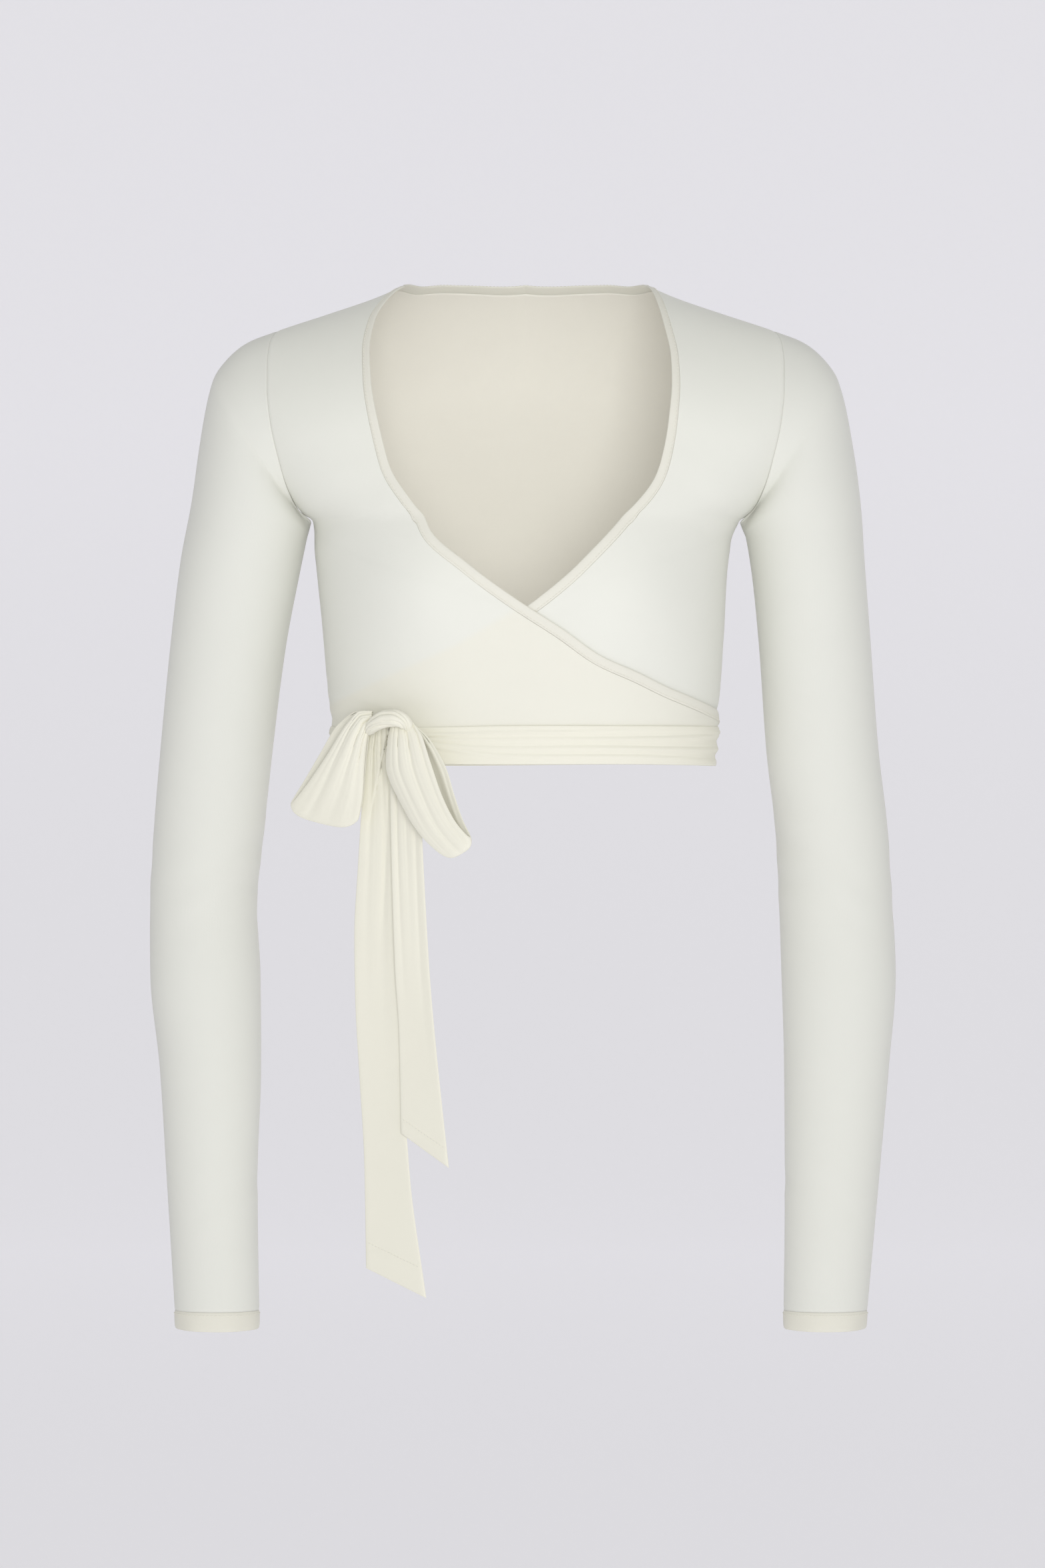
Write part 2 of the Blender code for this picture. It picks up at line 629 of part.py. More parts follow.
def main():
    for obj in list(bpy.data.objects):
        bpy.data.objects.remove(obj)
    outer_line = neck_line(OUTER_EDGE, beyond=((pi / 2, -0.2512), (OUTER_END, -0.2630)))
    under_line = neck_line(UNDER_EDGE, beyond=((SEAM_ANGLE - pi / 2, -0.2478),))
    make_front("front_outer", "neck_binding_outer", -1, outer_line, outer_lift, JERSEY, BINDING)
    make_front("front_under", "neck_binding_under", 1, under_line, under_lift, JERSEY, BINDING)
    make_back(JERSEY, BINDING)
    make_sleeve("sleeve_right", "cuff_hem_right", -1, JERSEY, DOUBLED)
    make_sleeve("sleeve_left", "cuff_hem_left", 1, JERSEY, DOUBLED)
    make_waist_tie(DOUBLED)
    make_knot(DOUBLED)
    make_loop("bow_loop_left", LOOP_LEFT, DOUBLED)
    make_loop("bow_loop_right", LOOP_RIGHT, DOUBLED)
    make_tail("tie_tail_long", TAIL_LONG, DOUBLED)
    make_tail("tie_tail_short", TAIL_SHORT, DOUBLED)


main()
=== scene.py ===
from math import cos, pi, radians, sin, tan

import bmesh
import bpy
import numpy as np
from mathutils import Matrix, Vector


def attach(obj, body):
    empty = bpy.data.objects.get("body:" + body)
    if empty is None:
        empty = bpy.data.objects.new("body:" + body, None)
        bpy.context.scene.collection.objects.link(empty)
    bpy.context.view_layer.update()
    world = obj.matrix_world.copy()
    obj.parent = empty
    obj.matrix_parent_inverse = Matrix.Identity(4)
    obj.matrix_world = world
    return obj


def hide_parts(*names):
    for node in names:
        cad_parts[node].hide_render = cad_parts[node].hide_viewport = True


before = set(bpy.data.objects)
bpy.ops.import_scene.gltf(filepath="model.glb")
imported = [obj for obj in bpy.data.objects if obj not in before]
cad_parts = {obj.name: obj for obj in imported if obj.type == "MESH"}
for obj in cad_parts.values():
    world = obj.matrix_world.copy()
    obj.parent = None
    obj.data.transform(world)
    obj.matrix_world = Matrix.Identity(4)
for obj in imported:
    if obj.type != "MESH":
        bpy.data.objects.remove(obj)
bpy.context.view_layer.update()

# The wearer would face -Y, with their left at +X. Sizes are in metres, unless a name says otherwise.

cloth = {
    "wall": 0.0008,
    "roughness": 0.88,
    "sheen": 0.22,
    "sheenRoughness": 0.45,
    "specular": 0.25,
    "threadRoughness": 0.7,
    # colours: one layer, two layers that show through each other, the inside (painted light: lighter than the
    # outside, standing in for light that reaches inside the garment), and the other pieces, of which the
    # sleeves' is painted shade
    "single": (0.815, 0.819, 0.752, 1),
    "doubled": (0.824, 0.814, 0.722, 1),
    # painted light: the panels' inner faces are made lighter than the outside of the same cloth
    "inside": (0.905, 0.882, 0.800, 1),
    # painted shade: the panels' cloth made darker for the sleeves
    "sleeve": (0.764, 0.768, 0.710, 1),
    "binding": (0.796, 0.784, 0.698, 1),
    "cuff": (0.760, 0.746, 0.656, 1),
    "tie": (0.846, 0.830, 0.718, 1),
    "thread": (0.800, 0.785, 0.700, 1),
    "knitPitch": 0.00055,  # across one column of stitches
    "knitDepth": 0.000025,
    "mottling": 0.035,
    "mottlingScale": 38.0,
    "fibreScale": 900.0,
    "lap": 0.0016,  # between the two fronts where they cross
    "lapReach": (-0.02, 0.06),  # the stretch across which the outer front rises onto the under one
}

# The body form that the panels lie on. A place on it is (around, down): around is the angle about the body,
# 0 at the centre front and +90 degrees at the wearer's left; down is the angle over the rounded shoulder,
# and runs on below it at the same rate.
body = {
    "shoulderRound": 0.080,
    "level": 2.2,  # from this angle down, lines of equal down are level
    "boxiness": 0.12,
    "fullness": 0.013,
    "fullnessPlace": (0.072, -0.172),
    "fullnessReach": (0.044, 0.044),
    "height": (-0.2840, -0.2700, -0.2550, -0.2400, -0.2000, -0.1650, -0.1450, -0.1315, -0.1240, -0.1090,
               -0.0940, -0.0690, -0.0450, 0.0000, 0.0400),
    "right": (0.1204, 0.1212, 0.1224, 0.1244, 0.1278, 0.1313, 0.1331, 0.1347, 0.1440, 0.1590, 0.1700, 0.1840,
              0.1920, 0.1970, 0.1980),
    "left": (0.1164, 0.1176, 0.1198, 0.1222, 0.1250, 0.1268, 0.1294, 0.1347, 0.1440, 0.1590, 0.1700, 0.1840,
             0.1920, 0.1970, 0.1980),
    "front": (0.0846, 0.0860, 0.0884, 0.0914, 0.0998, 0.1052, 0.1056, 0.1046, 0.1036, 0.1010, 0.0978,
              0.0916, 0.0850, 0.0730, 0.0660),
    "back": (0.0816, 0.0820, 0.0828, 0.0842, 0.0885, 0.0930, 0.0955, 0.0965, 0.0970, 0.0980, 0.0985, 0.0975,
             0.0950, 0.0880, 0.0820),
    "shoulderOut": (0.0000, 0.0500, 0.0760, 0.0945, 0.1240, 0.1553, 0.1747, 0.1890, 0.2000),
    "shoulderHeight": (0.0400, 0.0310, 0.0185, 0.0104, 0.0003, -0.0100, -0.0175, -0.0290, -0.0500),
    "hem": -0.2815,
    "shoulderSeam": 0.001,  # the fronts and the back start at this angle down
}
# Outlines go from the shoulder line, where the height is None.
armhole = {
    "x": (0.1553, 0.1600, 0.1616, 0.1615, 0.1593, 0.1535, 0.1480, 0.1415, 0.1341),
    "height": (None, -0.0170, -0.0290, -0.0445, -0.0700, -0.0960, -0.1130, -0.1245, -0.1315),
}
outerEdge = {
    "x": (-0.0757, -0.0837, -0.0939, -0.0971, -0.0956, -0.0909, -0.0842, -0.0723, -0.0592, -0.0365, -0.0045,
          0.0229, 0.0465, 0.0684, 0.0905, 0.1140),
    "height": (None, 0.0118, -0.0053, -0.0274, -0.0493, -0.0734, -0.0989, -0.1184, -0.1383, -0.1593, -0.1827,
               -0.2002, -0.2164, -0.2261, -0.2367, -0.2465),
    "beyond": ((pi / 2, -0.2512), (radians(116), -0.2630)),
}
underEdge = {
    "x": (0.0763, 0.0814, 0.0864, 0.0902, 0.0889, 0.0814, 0.0623, 0.0348, 0.0058, -0.0085, -0.0419, -0.0816,
          -0.1123),
    "height": (None, 0.0088, -0.0097, -0.0297, -0.0663, -0.1026, -0.1280, -0.1576, -0.1827, -0.1922, -0.2117,
               -0.2291, -0.2423),
    "beyond": ((0.0014 - pi / 2, -0.2478),),
}
backEdge = {
    "x": (0.0763, 0.0640, 0.0400, 0.0000, -0.0400, -0.0640, -0.0757),
    "height": (None, 0.0195, 0.0213, 0.0222, 0.0213, 0.0195, None),
    "beyond": (),
}


def smooth(knots, values, at):
    # a smooth curve with no overshoot through values at rising knots
    knots, values = np.asarray(knots, float), np.asarray(values, float)
    steps = np.diff(values) / np.diff(knots)
    before, after = steps[:-1], steps[1:]
    sameWay = before * after > 0
    slopes = np.concatenate([steps[:1], np.zeros(len(before)), steps[-1:]])
    slopes[1:-1][sameWay] = (2 * before * after)[sameWay] / (before + after)[sameWay]
    at = np.clip(at, knots[0], knots[-1])
    i = np.clip(np.searchsorted(knots, at) - 1, 0, len(knots) - 2)
    span = knots[i + 1] - knots[i]
    t = (at - knots[i]) / span
    rise = values[i] + t * t * (3 - 2 * t) * (values[i + 1] - values[i])
    return rise + span * t * (1 - t) * ((1 - t) * slopes[i] - t * slopes[i + 1])


def eased(low, high, at):
    t = np.clip((at - low) / (high - low), 0, 1)
    return t * t * (3 - 2 * t)


def bell(distance, width):
    return np.exp(-((distance / width) ** 2))


def lengths(points):
    return np.concatenate([[0], np.cumsum(np.linalg.norm(np.diff(points, axis=0), axis=1))])


def unit(vectors):
    return vectors / np.maximum(np.linalg.norm(vectors, axis=-1, keepdims=True), 1e-12)


def shoulderHeight(x):
    return smooth(body["shoulderOut"], body["shoulderHeight"], np.abs(x)) - cloth["wall"] / 2


def halfWidth(side, z):
    right, left = (smooth(body["height"], body[name], z) for name in ("right", "left"))
    return np.where(side < 0, right, left) - cloth["wall"] / 2


def heightAt(x, down):
    turn = np.abs(down)
    fall = body["shoulderRound"] * np.where(turn < pi / 2, 1 - np.cos(down), 1 + turn - pi / 2)
    return shoulderHeight(x) * (1 - eased(0, body["level"], down)) - fall


def downAt(x, z):
    x, z = np.broadcast_arrays(np.asarray(x, float), np.asarray(z, float))
    low, high = np.zeros(x.shape), np.full(x.shape, 8.0)
    for _ in range(40):
        middle = (low + high) / 2
        tooHigh = heightAt(x, middle) > z
        low, high = np.where(tooHigh, middle, low), np.where(tooHigh, high, middle)
    return (low + high) / 2


def form(around, down):
    around, down = np.broadcast_arrays(np.asarray(around, float), np.asarray(down, float))
    x = np.zeros_like(around)
    for _ in range(30):
        z = heightAt(x, down)
        x = halfWidth(np.sin(around), z) * np.sin(around)
    drop = np.clip((shoulderHeight(x) - z) / body["shoulderRound"], 0, 1)
    over = np.sign(down) * np.sqrt(1 - (1 - drop) ** 2)
    facing = np.cos(around)
    front, back = (smooth(body["height"], body[name], z) for name in ("front", "back"))
    y = -np.where(facing > 0, front, back) * facing * (1 + body["boxiness"] * np.sin(around) ** 2) * over
    place, reach = body["fullnessPlace"], body["fullnessReach"]
    near = bell(np.abs(x) - place[0], reach[0]) * bell(z - place[1], reach[1])
    y = y - body["fullness"] * np.clip(facing, 0, 1) * near
    return np.stack([x, y, z], axis=-1)


def formNormals(around, down):
    small = 1e-3
    across = form(around + small, down) - form(around - small, down)
    along = form(around, down + small) - form(around, down - small)
    return unit(np.cross(along, across))


def onForm(x, z, back=False):
    x = np.asarray(x, float)
    z = np.array([shoulderHeight(a) if b is None else b for a, b in zip(x, z)], float)
    around = np.arcsin(np.clip(x / halfWidth(x, z), -1, 1))
    return np.column_stack([pi - around if back else around, downAt(x, z)])


def atHeight(around, z):
    return np.column_stack([around, downAt(halfWidth(np.sin(around), z) * np.sin(around), z)])


def path(places):
    run = lengths(form(*places.T))
    at = np.linspace(0, run[-1], 600)
    return np.column_stack([smooth(run, values, at) for values in places.T])


def spaced(line, count):
    run = lengths(form(*line.T))
    at = np.linspace(0, run[-1], count)
    return np.column_stack([np.interp(at, run, values) for values in line.T])


def beside(line, distance):
    # the line moved sideways on the form, to the right of its own direction as seen from outside
    small = 1e-3
    around, down = line.T
    tangent = np.gradient(form(around, down), axis=0)
    byAround = (form(around + small, down) - form(around - small, down)) / (2 * small)
    byDown = (form(around, down + small) - form(around, down - small)) / (2 * small)
    moveAround = np.sum(byDown * tangent, axis=1)
    moveDown = -np.sum(byAround * tangent, axis=1)
    moved = byAround * moveAround[:, None] + byDown * moveDown[:, None]
    scale = distance / np.linalg.norm(moved, axis=1)
    beyond = line + np.column_stack([moveAround * scale, moveDown * scale])
    onSeam = down < 4 * body["shoulderSeam"]
    beyond[onSeam, 1] = down[onSeam]
    return beyond


def neckLine(table, back=False):
    places = onForm(table["x"], table["height"], back)
    places[:, 1] = np.maximum(places[:, 1], body["shoulderSeam"])
    for around, height in table["beyond"]:
        places = np.concatenate([places, atHeight(np.array([around]), np.array([height]))])
    return path(places)


def filled(top, bottom, first, last, shares):
    # the grid of places between four lines: first and last run down, top and bottom across at those shares
    fallen = first[:, 1] - first[0, 1]
    v = (fallen / fallen[-1])[:, None, None]
    u = shares[None, :, None]
    across = (1 - u) * first[:, None] + u * last[:, None]
    along = (1 - v) * top[None] + v * bottom[None]
    corners = (1 - v) * ((1 - u) * first[0] + u * last[0]) + v * ((1 - u) * first[-1] + u * last[-1])
    return across + along - corners


# creases: soft troughs and ridges along short lines, as seen from the front
creases = {
    "body": (  # x0, z0, x1, z1, width, depth, on the front (-1) or back (1)
        (-0.1290, -0.1300, -0.0980, -0.1120, 0.0085, -0.0008, -1),
        (-0.1270, -0.1400, -0.1020, -0.1290, 0.0060, -0.0005, -1),
        (0.1290, -0.1300, 0.1010, -0.1130, 0.0085, -0.0008, -1),
        (0.1290, -0.1420, 0.1040, -0.1330, 0.0050, -0.0006, -1),
        (-0.1330, -0.1330, -0.0900, -0.1000, 0.0080, -0.0013, 1),
        (0.1330, -0.1330, 0.0920, -0.1040, 0.0080, -0.0013, 1),
        (-0.0950, -0.1950, -0.0200, -0.2120, 0.0080, -0.0007, 1),
        (0.1000, -0.2150, 0.0150, -0.2260, 0.0080, -0.0007, 1),
        (-0.1150, -0.2350, -0.0780, -0.2470, 0.0045, -0.0005, -1),
        (-0.1200, -0.2440, -0.0960, -0.2510, 0.0035, -0.0006, -1),
    ),
    "waist": (  # height, width, depth of the gathers that meet the tie at the sides
        (-0.2520, 0.0030, -0.0006),
        (-0.2590, 0.0030, 0.0005),
    ),
    "sleeve": (  # out from the middle of the body, height, the same again, width, depth, front or back
        (0.1620, -0.3330, 0.2040, -0.3560, 0.0080, -0.0010, -1),
        (0.1640, -0.3560, 0.1990, -0.3770, 0.0070, -0.0009, -1),
        (0.1640, -0.3100, 0.1900, -0.3260, 0.0070, -0.0006, -1),
        (0.1650, -0.5450, 0.1990, -0.5620, 0.0060, -0.0005, -1),
        (0.2250, -0.3500, 0.1850, -0.3700, 0.0080, -0.0012, 1),
        (0.2280, -0.3750, 0.1900, -0.3960, 0.0080, -0.0010, 1),
        (0.2060, -0.1150, 0.1750, -0.1500, 0.0090, -0.0009, 1),
    ),
}


def creased(x, y, z, rows):
    lift = np.zeros(np.shape(x))
    for x0, z0, x1, z1, width, depth, side in rows:
        run = np.array([x1 - x0, z1 - z0])
        length = np.linalg.norm(run)
        along = ((x - x0) * run[0] + (z - z0) * run[1]) / length
        share = np.clip(along / length, 0, 1)
        aside = ((x - x0) * run[1] - (z - z0) * run[0]) / length + 0.10 * length * np.sin(pi * share)
        fade = bell(np.maximum(along - length, 0), 0.4 * length) * bell(np.minimum(along, 0), 0.4 * length)
        here = eased(-0.010, 0.010, y * side)
        trough = bell(aside, width) - 0.45 * bell(aside - 1.6 * width, width)
        lift = lift + depth * fade * here * (1 - 0.55 * share) * trough
    return lift


# making meshes
def makeMesh(name, points, faces, surface, uv=None, values=None):
    data = bpy.data.meshes.new(name)
    data.from_pydata(np.asarray(points, float).tolist(), [], np.asarray(faces).tolist())
    if uv is not None:
        loops = np.empty(len(data.loops), np.int32)
        data.loops.foreach_get("vertex_index", loops)
        layer = data.uv_layers.new(name="UVMap")
        layer.data.foreach_set("uv", np.asarray(uv, np.float32)[loops].ravel())
    for label, numbers in (values or {}).items():
        layer = data.attributes.new(label, "FLOAT", "POINT")
        layer.data.foreach_set("value", np.asarray(numbers, np.float32).ravel())
    data.materials.append(surface)
    data.shade_smooth()
    data.update()
    made = bpy.data.objects.new(name, data)
    bpy.context.scene.collection.objects.link(made)
    return made


def gridNormals(points, towards, looped=False):
    # unit vectors across a grid of points, on the side that towards says
    down = np.gradient(points, axis=0)
    if looped:
        across = np.roll(points, -1, axis=1) - np.roll(points, 1, axis=1)
    else:
        across = np.gradient(points, axis=1)
    normals = np.cross(down, across)
    weak = np.linalg.norm(normals, axis=-1, keepdims=True) < 1e-14
    normals = np.where(weak, towards, unit(normals))
    return np.where(np.sum(normals * towards, axis=-1, keepdims=True) < 0, -normals, normals)


def shell(name, points, towards, wall, surface, looped=False, thick=None, values=None, uvTurn=False):
    # a closed wall of cloth about a grid of points; thick is the wall's share at each point
    rows, columns = points.shape[:2]
    normals = gridNormals(points, towards, looped)
    half = wall / 2 * (np.ones((rows, columns)) if thick is None else thick)[..., None]
    both = np.concatenate([(points + normals * sign * half).reshape(-1, 3) for sign in (1, -1)])
    count = rows * columns
    index = np.arange(count).reshape(rows, columns)
    following = np.roll(index, -1, axis=1) if looped else index[:, 1:]
    index0 = index if looped else index[:, :-1]
    quads = np.stack([index0[:-1], following[:-1], following[1:], index0[1:]], axis=-1).reshape(-1, 4)
    a, b, c = (both[quads[:, i]] for i in (0, 1, 2))
    outward = np.sum(np.cross(b - a, c - a) * normals.reshape(-1, 3)[quads[:, 0]], axis=1).sum()
    if outward < 0:
        quads = quads[:, ::-1]
    faces = [quads, quads[:, ::-1] + count]
    rims = [(index0[0], following[0], False), (index0[-1], following[-1], True)]
    if not looped:
        rims += [(index[:-1, 0], index[1:, 0], True), (index[:-1, -1], index[1:, -1], False)]
    for start, end, turned in rims:
        rim = np.stack([start, start + count, end + count, end], axis=-1)
        if turned != (outward < 0):
            rim = rim[:, ::-1]
        faces.append(rim)
    u = np.zeros((rows, columns))
    v = np.zeros((rows, columns))
    u[:, 1:] = np.cumsum(np.linalg.norm(np.diff(points, axis=1), axis=2), axis=1)
    v[1:] = np.cumsum(np.linalg.norm(np.diff(points, axis=0), axis=2), axis=0)
    uv = np.stack([v, u] if uvTurn else [u, v], axis=-1).reshape(-1, 2)
    doubled = {label: np.tile(np.ravel(numbers), 2) for label, numbers in values.items()}
    doubled["inside"] = np.repeat([0.0, 1.0], count)
    return makeMesh(name, both, np.concatenate(faces), surface, np.tile(uv, (2, 1)), doubled)


def rounded(count, share=0.16):
    # places across a strip, closer at its two rims, and how thick it is at each
    edge = 0.5 * (1 - np.cos(np.linspace(0, pi / 2, 5))) * 2 * share
    inner = np.linspace(share * 2, 1 - share * 2, count)[1:-1]
    places = np.concatenate([edge, inner, 1 - edge[::-1]])
    inside = np.clip(np.minimum(places, 1 - places) / (2 * share), 0, 1)
    return places, np.maximum(np.sqrt(1 - (1 - inside) ** 2), 0.12)


# materials
def group(name, inputs, outputs):
    tree = bpy.data.node_groups.new(name, "ShaderNodeTree")
    for label, kind in inputs:
        tree.interface.new_socket(label, in_out="INPUT", socket_type=kind)
    for label, kind in outputs:
        tree.interface.new_socket(label, in_out="OUTPUT", socket_type=kind)
    return tree


class Nodes:
    # makes and links nodes: a number or colour is set, and a socket is linked
    def __init__(self, tree):
        self.tree = tree

    def add(self, kind, inputs=None, **settings):
        node = self.tree.nodes.new(kind)
        for label, value in settings.items():
            setattr(node, label, value)
        for label, value in (inputs or {}).items():
            if isinstance(value, bpy.types.NodeSocket):
                self.tree.links.new(value, node.inputs[label])
            else:
                node.inputs[label].default_value = value
        return node

    def math(self, operation, a, b=0.0, c=0.0):
        return self.add("ShaderNodeMath", {0: a, 1: b, 2: c}, operation=operation).outputs[0]

    def noise(self, place, scale, detail):
        sizes = {"Vector": place, "Scale": scale, "Detail": detail}
        return self.add("ShaderNodeTexNoise", sizes).outputs["Fac"]


def jerseyGroup():
    # fine knit: the colour by how many layers show, with soft mottling, and the height of the stitches
    tree = group(
        "fineJersey",
        (("Single", "NodeSocketColor"), ("Doubled", "NodeSocketColor"), ("Inside", "NodeSocketColor"),
         ("Pitch", "NodeSocketFloat"), ("Mottling", "NodeSocketFloat")),
        (("Color", "NodeSocketColor"), ("Height", "NodeSocketFloat")),
    )
    made = Nodes(tree)
    given = tree.nodes.new("NodeGroupInput").outputs
    tone = made.add("ShaderNodeAttribute", attribute_name="tone").outputs["Fac"]
    place = made.add("ShaderNodeTexCoord").outputs["Object"]
    soft = made.noise(place, cloth["mottlingScale"], 4.0)
    fine = made.noise(place, cloth["fibreScale"], 3.0)
    blend = made.math("MULTIPLY_ADD", soft, 0.6, made.math("MULTIPLY", fine, 0.4))
    shade = made.math("MULTIPLY_ADD", made.math("SUBTRACT", blend, 0.5), given["Mottling"], 1.0)
    mixed = made.add("ShaderNodeMix", {0: tone, 6: given["Single"], 7: given["Doubled"]}, data_type="RGBA")
    # the inner faces take the Inside colour, which for the panels is painted light
    within = made.add("ShaderNodeAttribute", attribute_name="inside").outputs["Fac"]
    faced = made.add("ShaderNodeMix", {0: within, 6: mixed.outputs[2], 7: given["Inside"]}, data_type="RGBA")
    toned = made.add("ShaderNodeVectorMath", {0: faced.outputs[2], "Scale": shade}, operation="SCALE")
    uv = made.add("ShaderNodeUVMap", uv_map="UVMap").outputs[0]
    flat = made.add("ShaderNodeSeparateXYZ", {0: uv}).outputs
    wale = made.math("DIVIDE", flat["X"], given["Pitch"])
    course = made.math("DIVIDE", flat["Y"], made.math("MULTIPLY", given["Pitch"], 0.75))
    fold = made.math("ABSOLUTE", made.math("SUBTRACT", made.math("FRACT", wale), 0.5))
    slant = made.math("MULTIPLY_ADD", fold, 1.2, course)
    loops = made.math("SINE", made.math("MULTIPLY", slant, 2 * pi))
    ribs = made.math("SINE", made.math("MULTIPLY", made.math("FRACT", wale), pi))
    knit = made.math("MULTIPLY", made.math("MULTIPLY_ADD", loops, 0.35, 0.65), ribs)
    height = made.math("MULTIPLY_ADD", fine, 0.8, knit)
    ends = tree.nodes.new("NodeGroupOutput")
    tree.links.new(toned.outputs[0], ends.inputs["Color"])
    tree.links.new(height, ends.inputs["Height"])
    return tree


jersey = jerseyGroup()


def clothMaterial(name, single, doubled=None, inside=None):
    made = bpy.data.materials.new(name)
    made.use_nodes = True
    nodes = Nodes(made.node_tree)
    shader = made.node_tree.nodes["Principled BSDF"]
    values = {"Single": single, "Doubled": doubled or single, "Inside": inside or single,
              "Pitch": cloth["knitPitch"], "Mottling": cloth["mottling"]}
    knit = nodes.add("ShaderNodeGroup", None, node_tree=jersey)
    for label, value in values.items():
        knit.inputs[label].default_value = value
    relief = {"Height": knit.outputs["Height"], "Distance": cloth["knitDepth"], "Strength": 1.0}
    bump = nodes.add("ShaderNodeBump", relief)
    made.node_tree.links.new(knit.outputs["Color"], shader.inputs["Base Color"])
    made.node_tree.links.new(bump.outputs["Normal"], shader.inputs["Normal"])
    shader.inputs["Roughness"].default_value = cloth["roughness"]
    shader.inputs["Specular IOR Level"].default_value = cloth["specular"]
    shader.inputs["Sheen Weight"].default_value = cloth["sheen"]
    shader.inputs["Sheen Roughness"].default_value = cloth["sheenRoughness"]
    return made


# the panels' Inside colour is painted light, lighter than their outside
panelMaterial = clothMaterial("jerseyPanel", cloth["single"], cloth["doubled"], cloth["inside"])
# the sleeves' colour is painted shade: the same cloth as the panels, darker
sleevePaintedShadeMaterial = clothMaterial("jerseySleevePaintedShade", cloth["sleeve"])
bindingMaterial = clothMaterial("jerseyBinding", cloth["binding"])
cuffMaterial = clothMaterial("jerseyCuff", cloth["cuff"])
tieMaterial = clothMaterial("jerseyTie", cloth["tie"])


def threadMaterial():
    made = bpy.data.materials.new("thread")
    made.use_nodes = True
    nodes = Nodes(made.node_tree)
    shader = made.node_tree.nodes["Principled BSDF"]
    place = nodes.add("ShaderNodeTexCoord").outputs["Object"]
    twist = nodes.noise(place, 2600.0, 2.0)
    shade = nodes.math("MULTIPLY_ADD", twist, 0.10, 0.95)
    toned = nodes.add("ShaderNodeVectorMath", {0: cloth["thread"][:3], "Scale": shade}, operation="SCALE")
    made.node_tree.links.new(toned.outputs[0], shader.inputs["Base Color"])
    shader.inputs["Roughness"].default_value = cloth["threadRoughness"]
    return made


# stitches: thread laid at even steps along lines
stitches = {
    "spacing": 0.0024,
    "length": 0.0017,
    "thickness": 0.00028,
    "unevenness": 0.18,
    "seed": 7,
    "proud": 0.2,  # how far the middle of the thread stands out of the cloth, as a share of its thickness
}
stitchLines = []  # rows of points that the stitches follow


def stitchGroup():
    tree = bpy.data.node_groups.new("stitches", "GeometryNodeTree")
    kinds = {"Geometry": "Geometry", "Spacing": "Float", "Length": "Float", "Thickness": "Float",
             "Unevenness": "Float", "Seed": "Int", "Material": "Material"}
    for label, kind in kinds.items():
        tree.interface.new_socket(label, in_out="INPUT", socket_type="NodeSocket" + kind)
    tree.interface.new_socket("Geometry", in_out="OUTPUT", socket_type="NodeSocketGeometry")
    made = Nodes(tree)
    given = tree.nodes.new("NodeGroupInput").outputs
    curve = made.add("GeometryNodeMeshToCurve", {"Mesh": given["Geometry"]}).outputs["Curve"]
    along = {"Curve": curve, "Length": given["Spacing"]}
    spread = made.add("GeometryNodeCurveToPoints", along, mode="LENGTH").outputs
    turned = made.add("FunctionNodeAlignRotationToVector", {"Vector": spread["Tangent"]}, axis="Z").outputs[0]
    change = made.add("FunctionNodeRandomValue", {2: made.math("MULTIPLY", given["Unevenness"], -1.0),
                                                  3: given["Unevenness"], "Seed": given["Seed"]}).outputs[1]
    length = made.math("MULTIPLY", given["Length"], made.math("ADD", change, 1.0))
    size = made.add("ShaderNodeCombineXYZ", {0: given["Thickness"], 1: given["Thickness"],
                                             2: made.math("MULTIPLY", length, 0.5)}).outputs[0]
    thread = made.add("GeometryNodeMeshIcoSphere", {"Radius": 1.0, "Subdivisions": 2}).outputs["Mesh"]
    copies = {"Points": spread["Points"], "Instance": thread, "Rotation": turned, "Scale": size}
    laid = made.add("GeometryNodeInstanceOnPoints", copies).outputs[0]
    real = made.add("GeometryNodeRealizeInstances", {"Geometry": laid}).outputs[0]
    done = made.add("GeometryNodeSetMaterial", {"Geometry": real, "Material": given["Material"]}).outputs[0]
    tree.links.new(done, tree.nodes.new("NodeGroupOutput").inputs["Geometry"])
    return tree


def makeStitches(name):
    points = np.concatenate(stitchLines)
    edges = []
    first = 0
    for line in stitchLines:
        edges += [(first + i, first + i + 1) for i in range(len(line) - 1)]
        first += len(line)
    data = bpy.data.meshes.new(name + "_lines")
    data.from_pydata(points.tolist(), edges, [])
    lines = bpy.data.objects.new(name + "_lines", data)
    bpy.context.scene.collection.objects.link(lines)
    tree = stitchGroup()
    modifier = lines.modifiers.new("stitches", "NODES")
    modifier.node_group = tree
    values = dict(stitches, material=threadMaterial())
    for socket in tree.interface.items_tree:
        if socket.in_out == "INPUT" and socket.name.lower() in values:
            modifier[socket.identifier] = values[socket.name.lower()]
    bpy.context.view_layer.update()
    graph = bpy.context.evaluated_depsgraph_get()
    plain = bpy.data.meshes.new_from_object(lines.evaluated_get(graph))
    bpy.data.objects.remove(lines)
    made = bpy.data.objects.new(name, plain)
    bpy.context.scene.collection.objects.link(made)
    plain.shade_smooth()
    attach(made, "root")
    return made


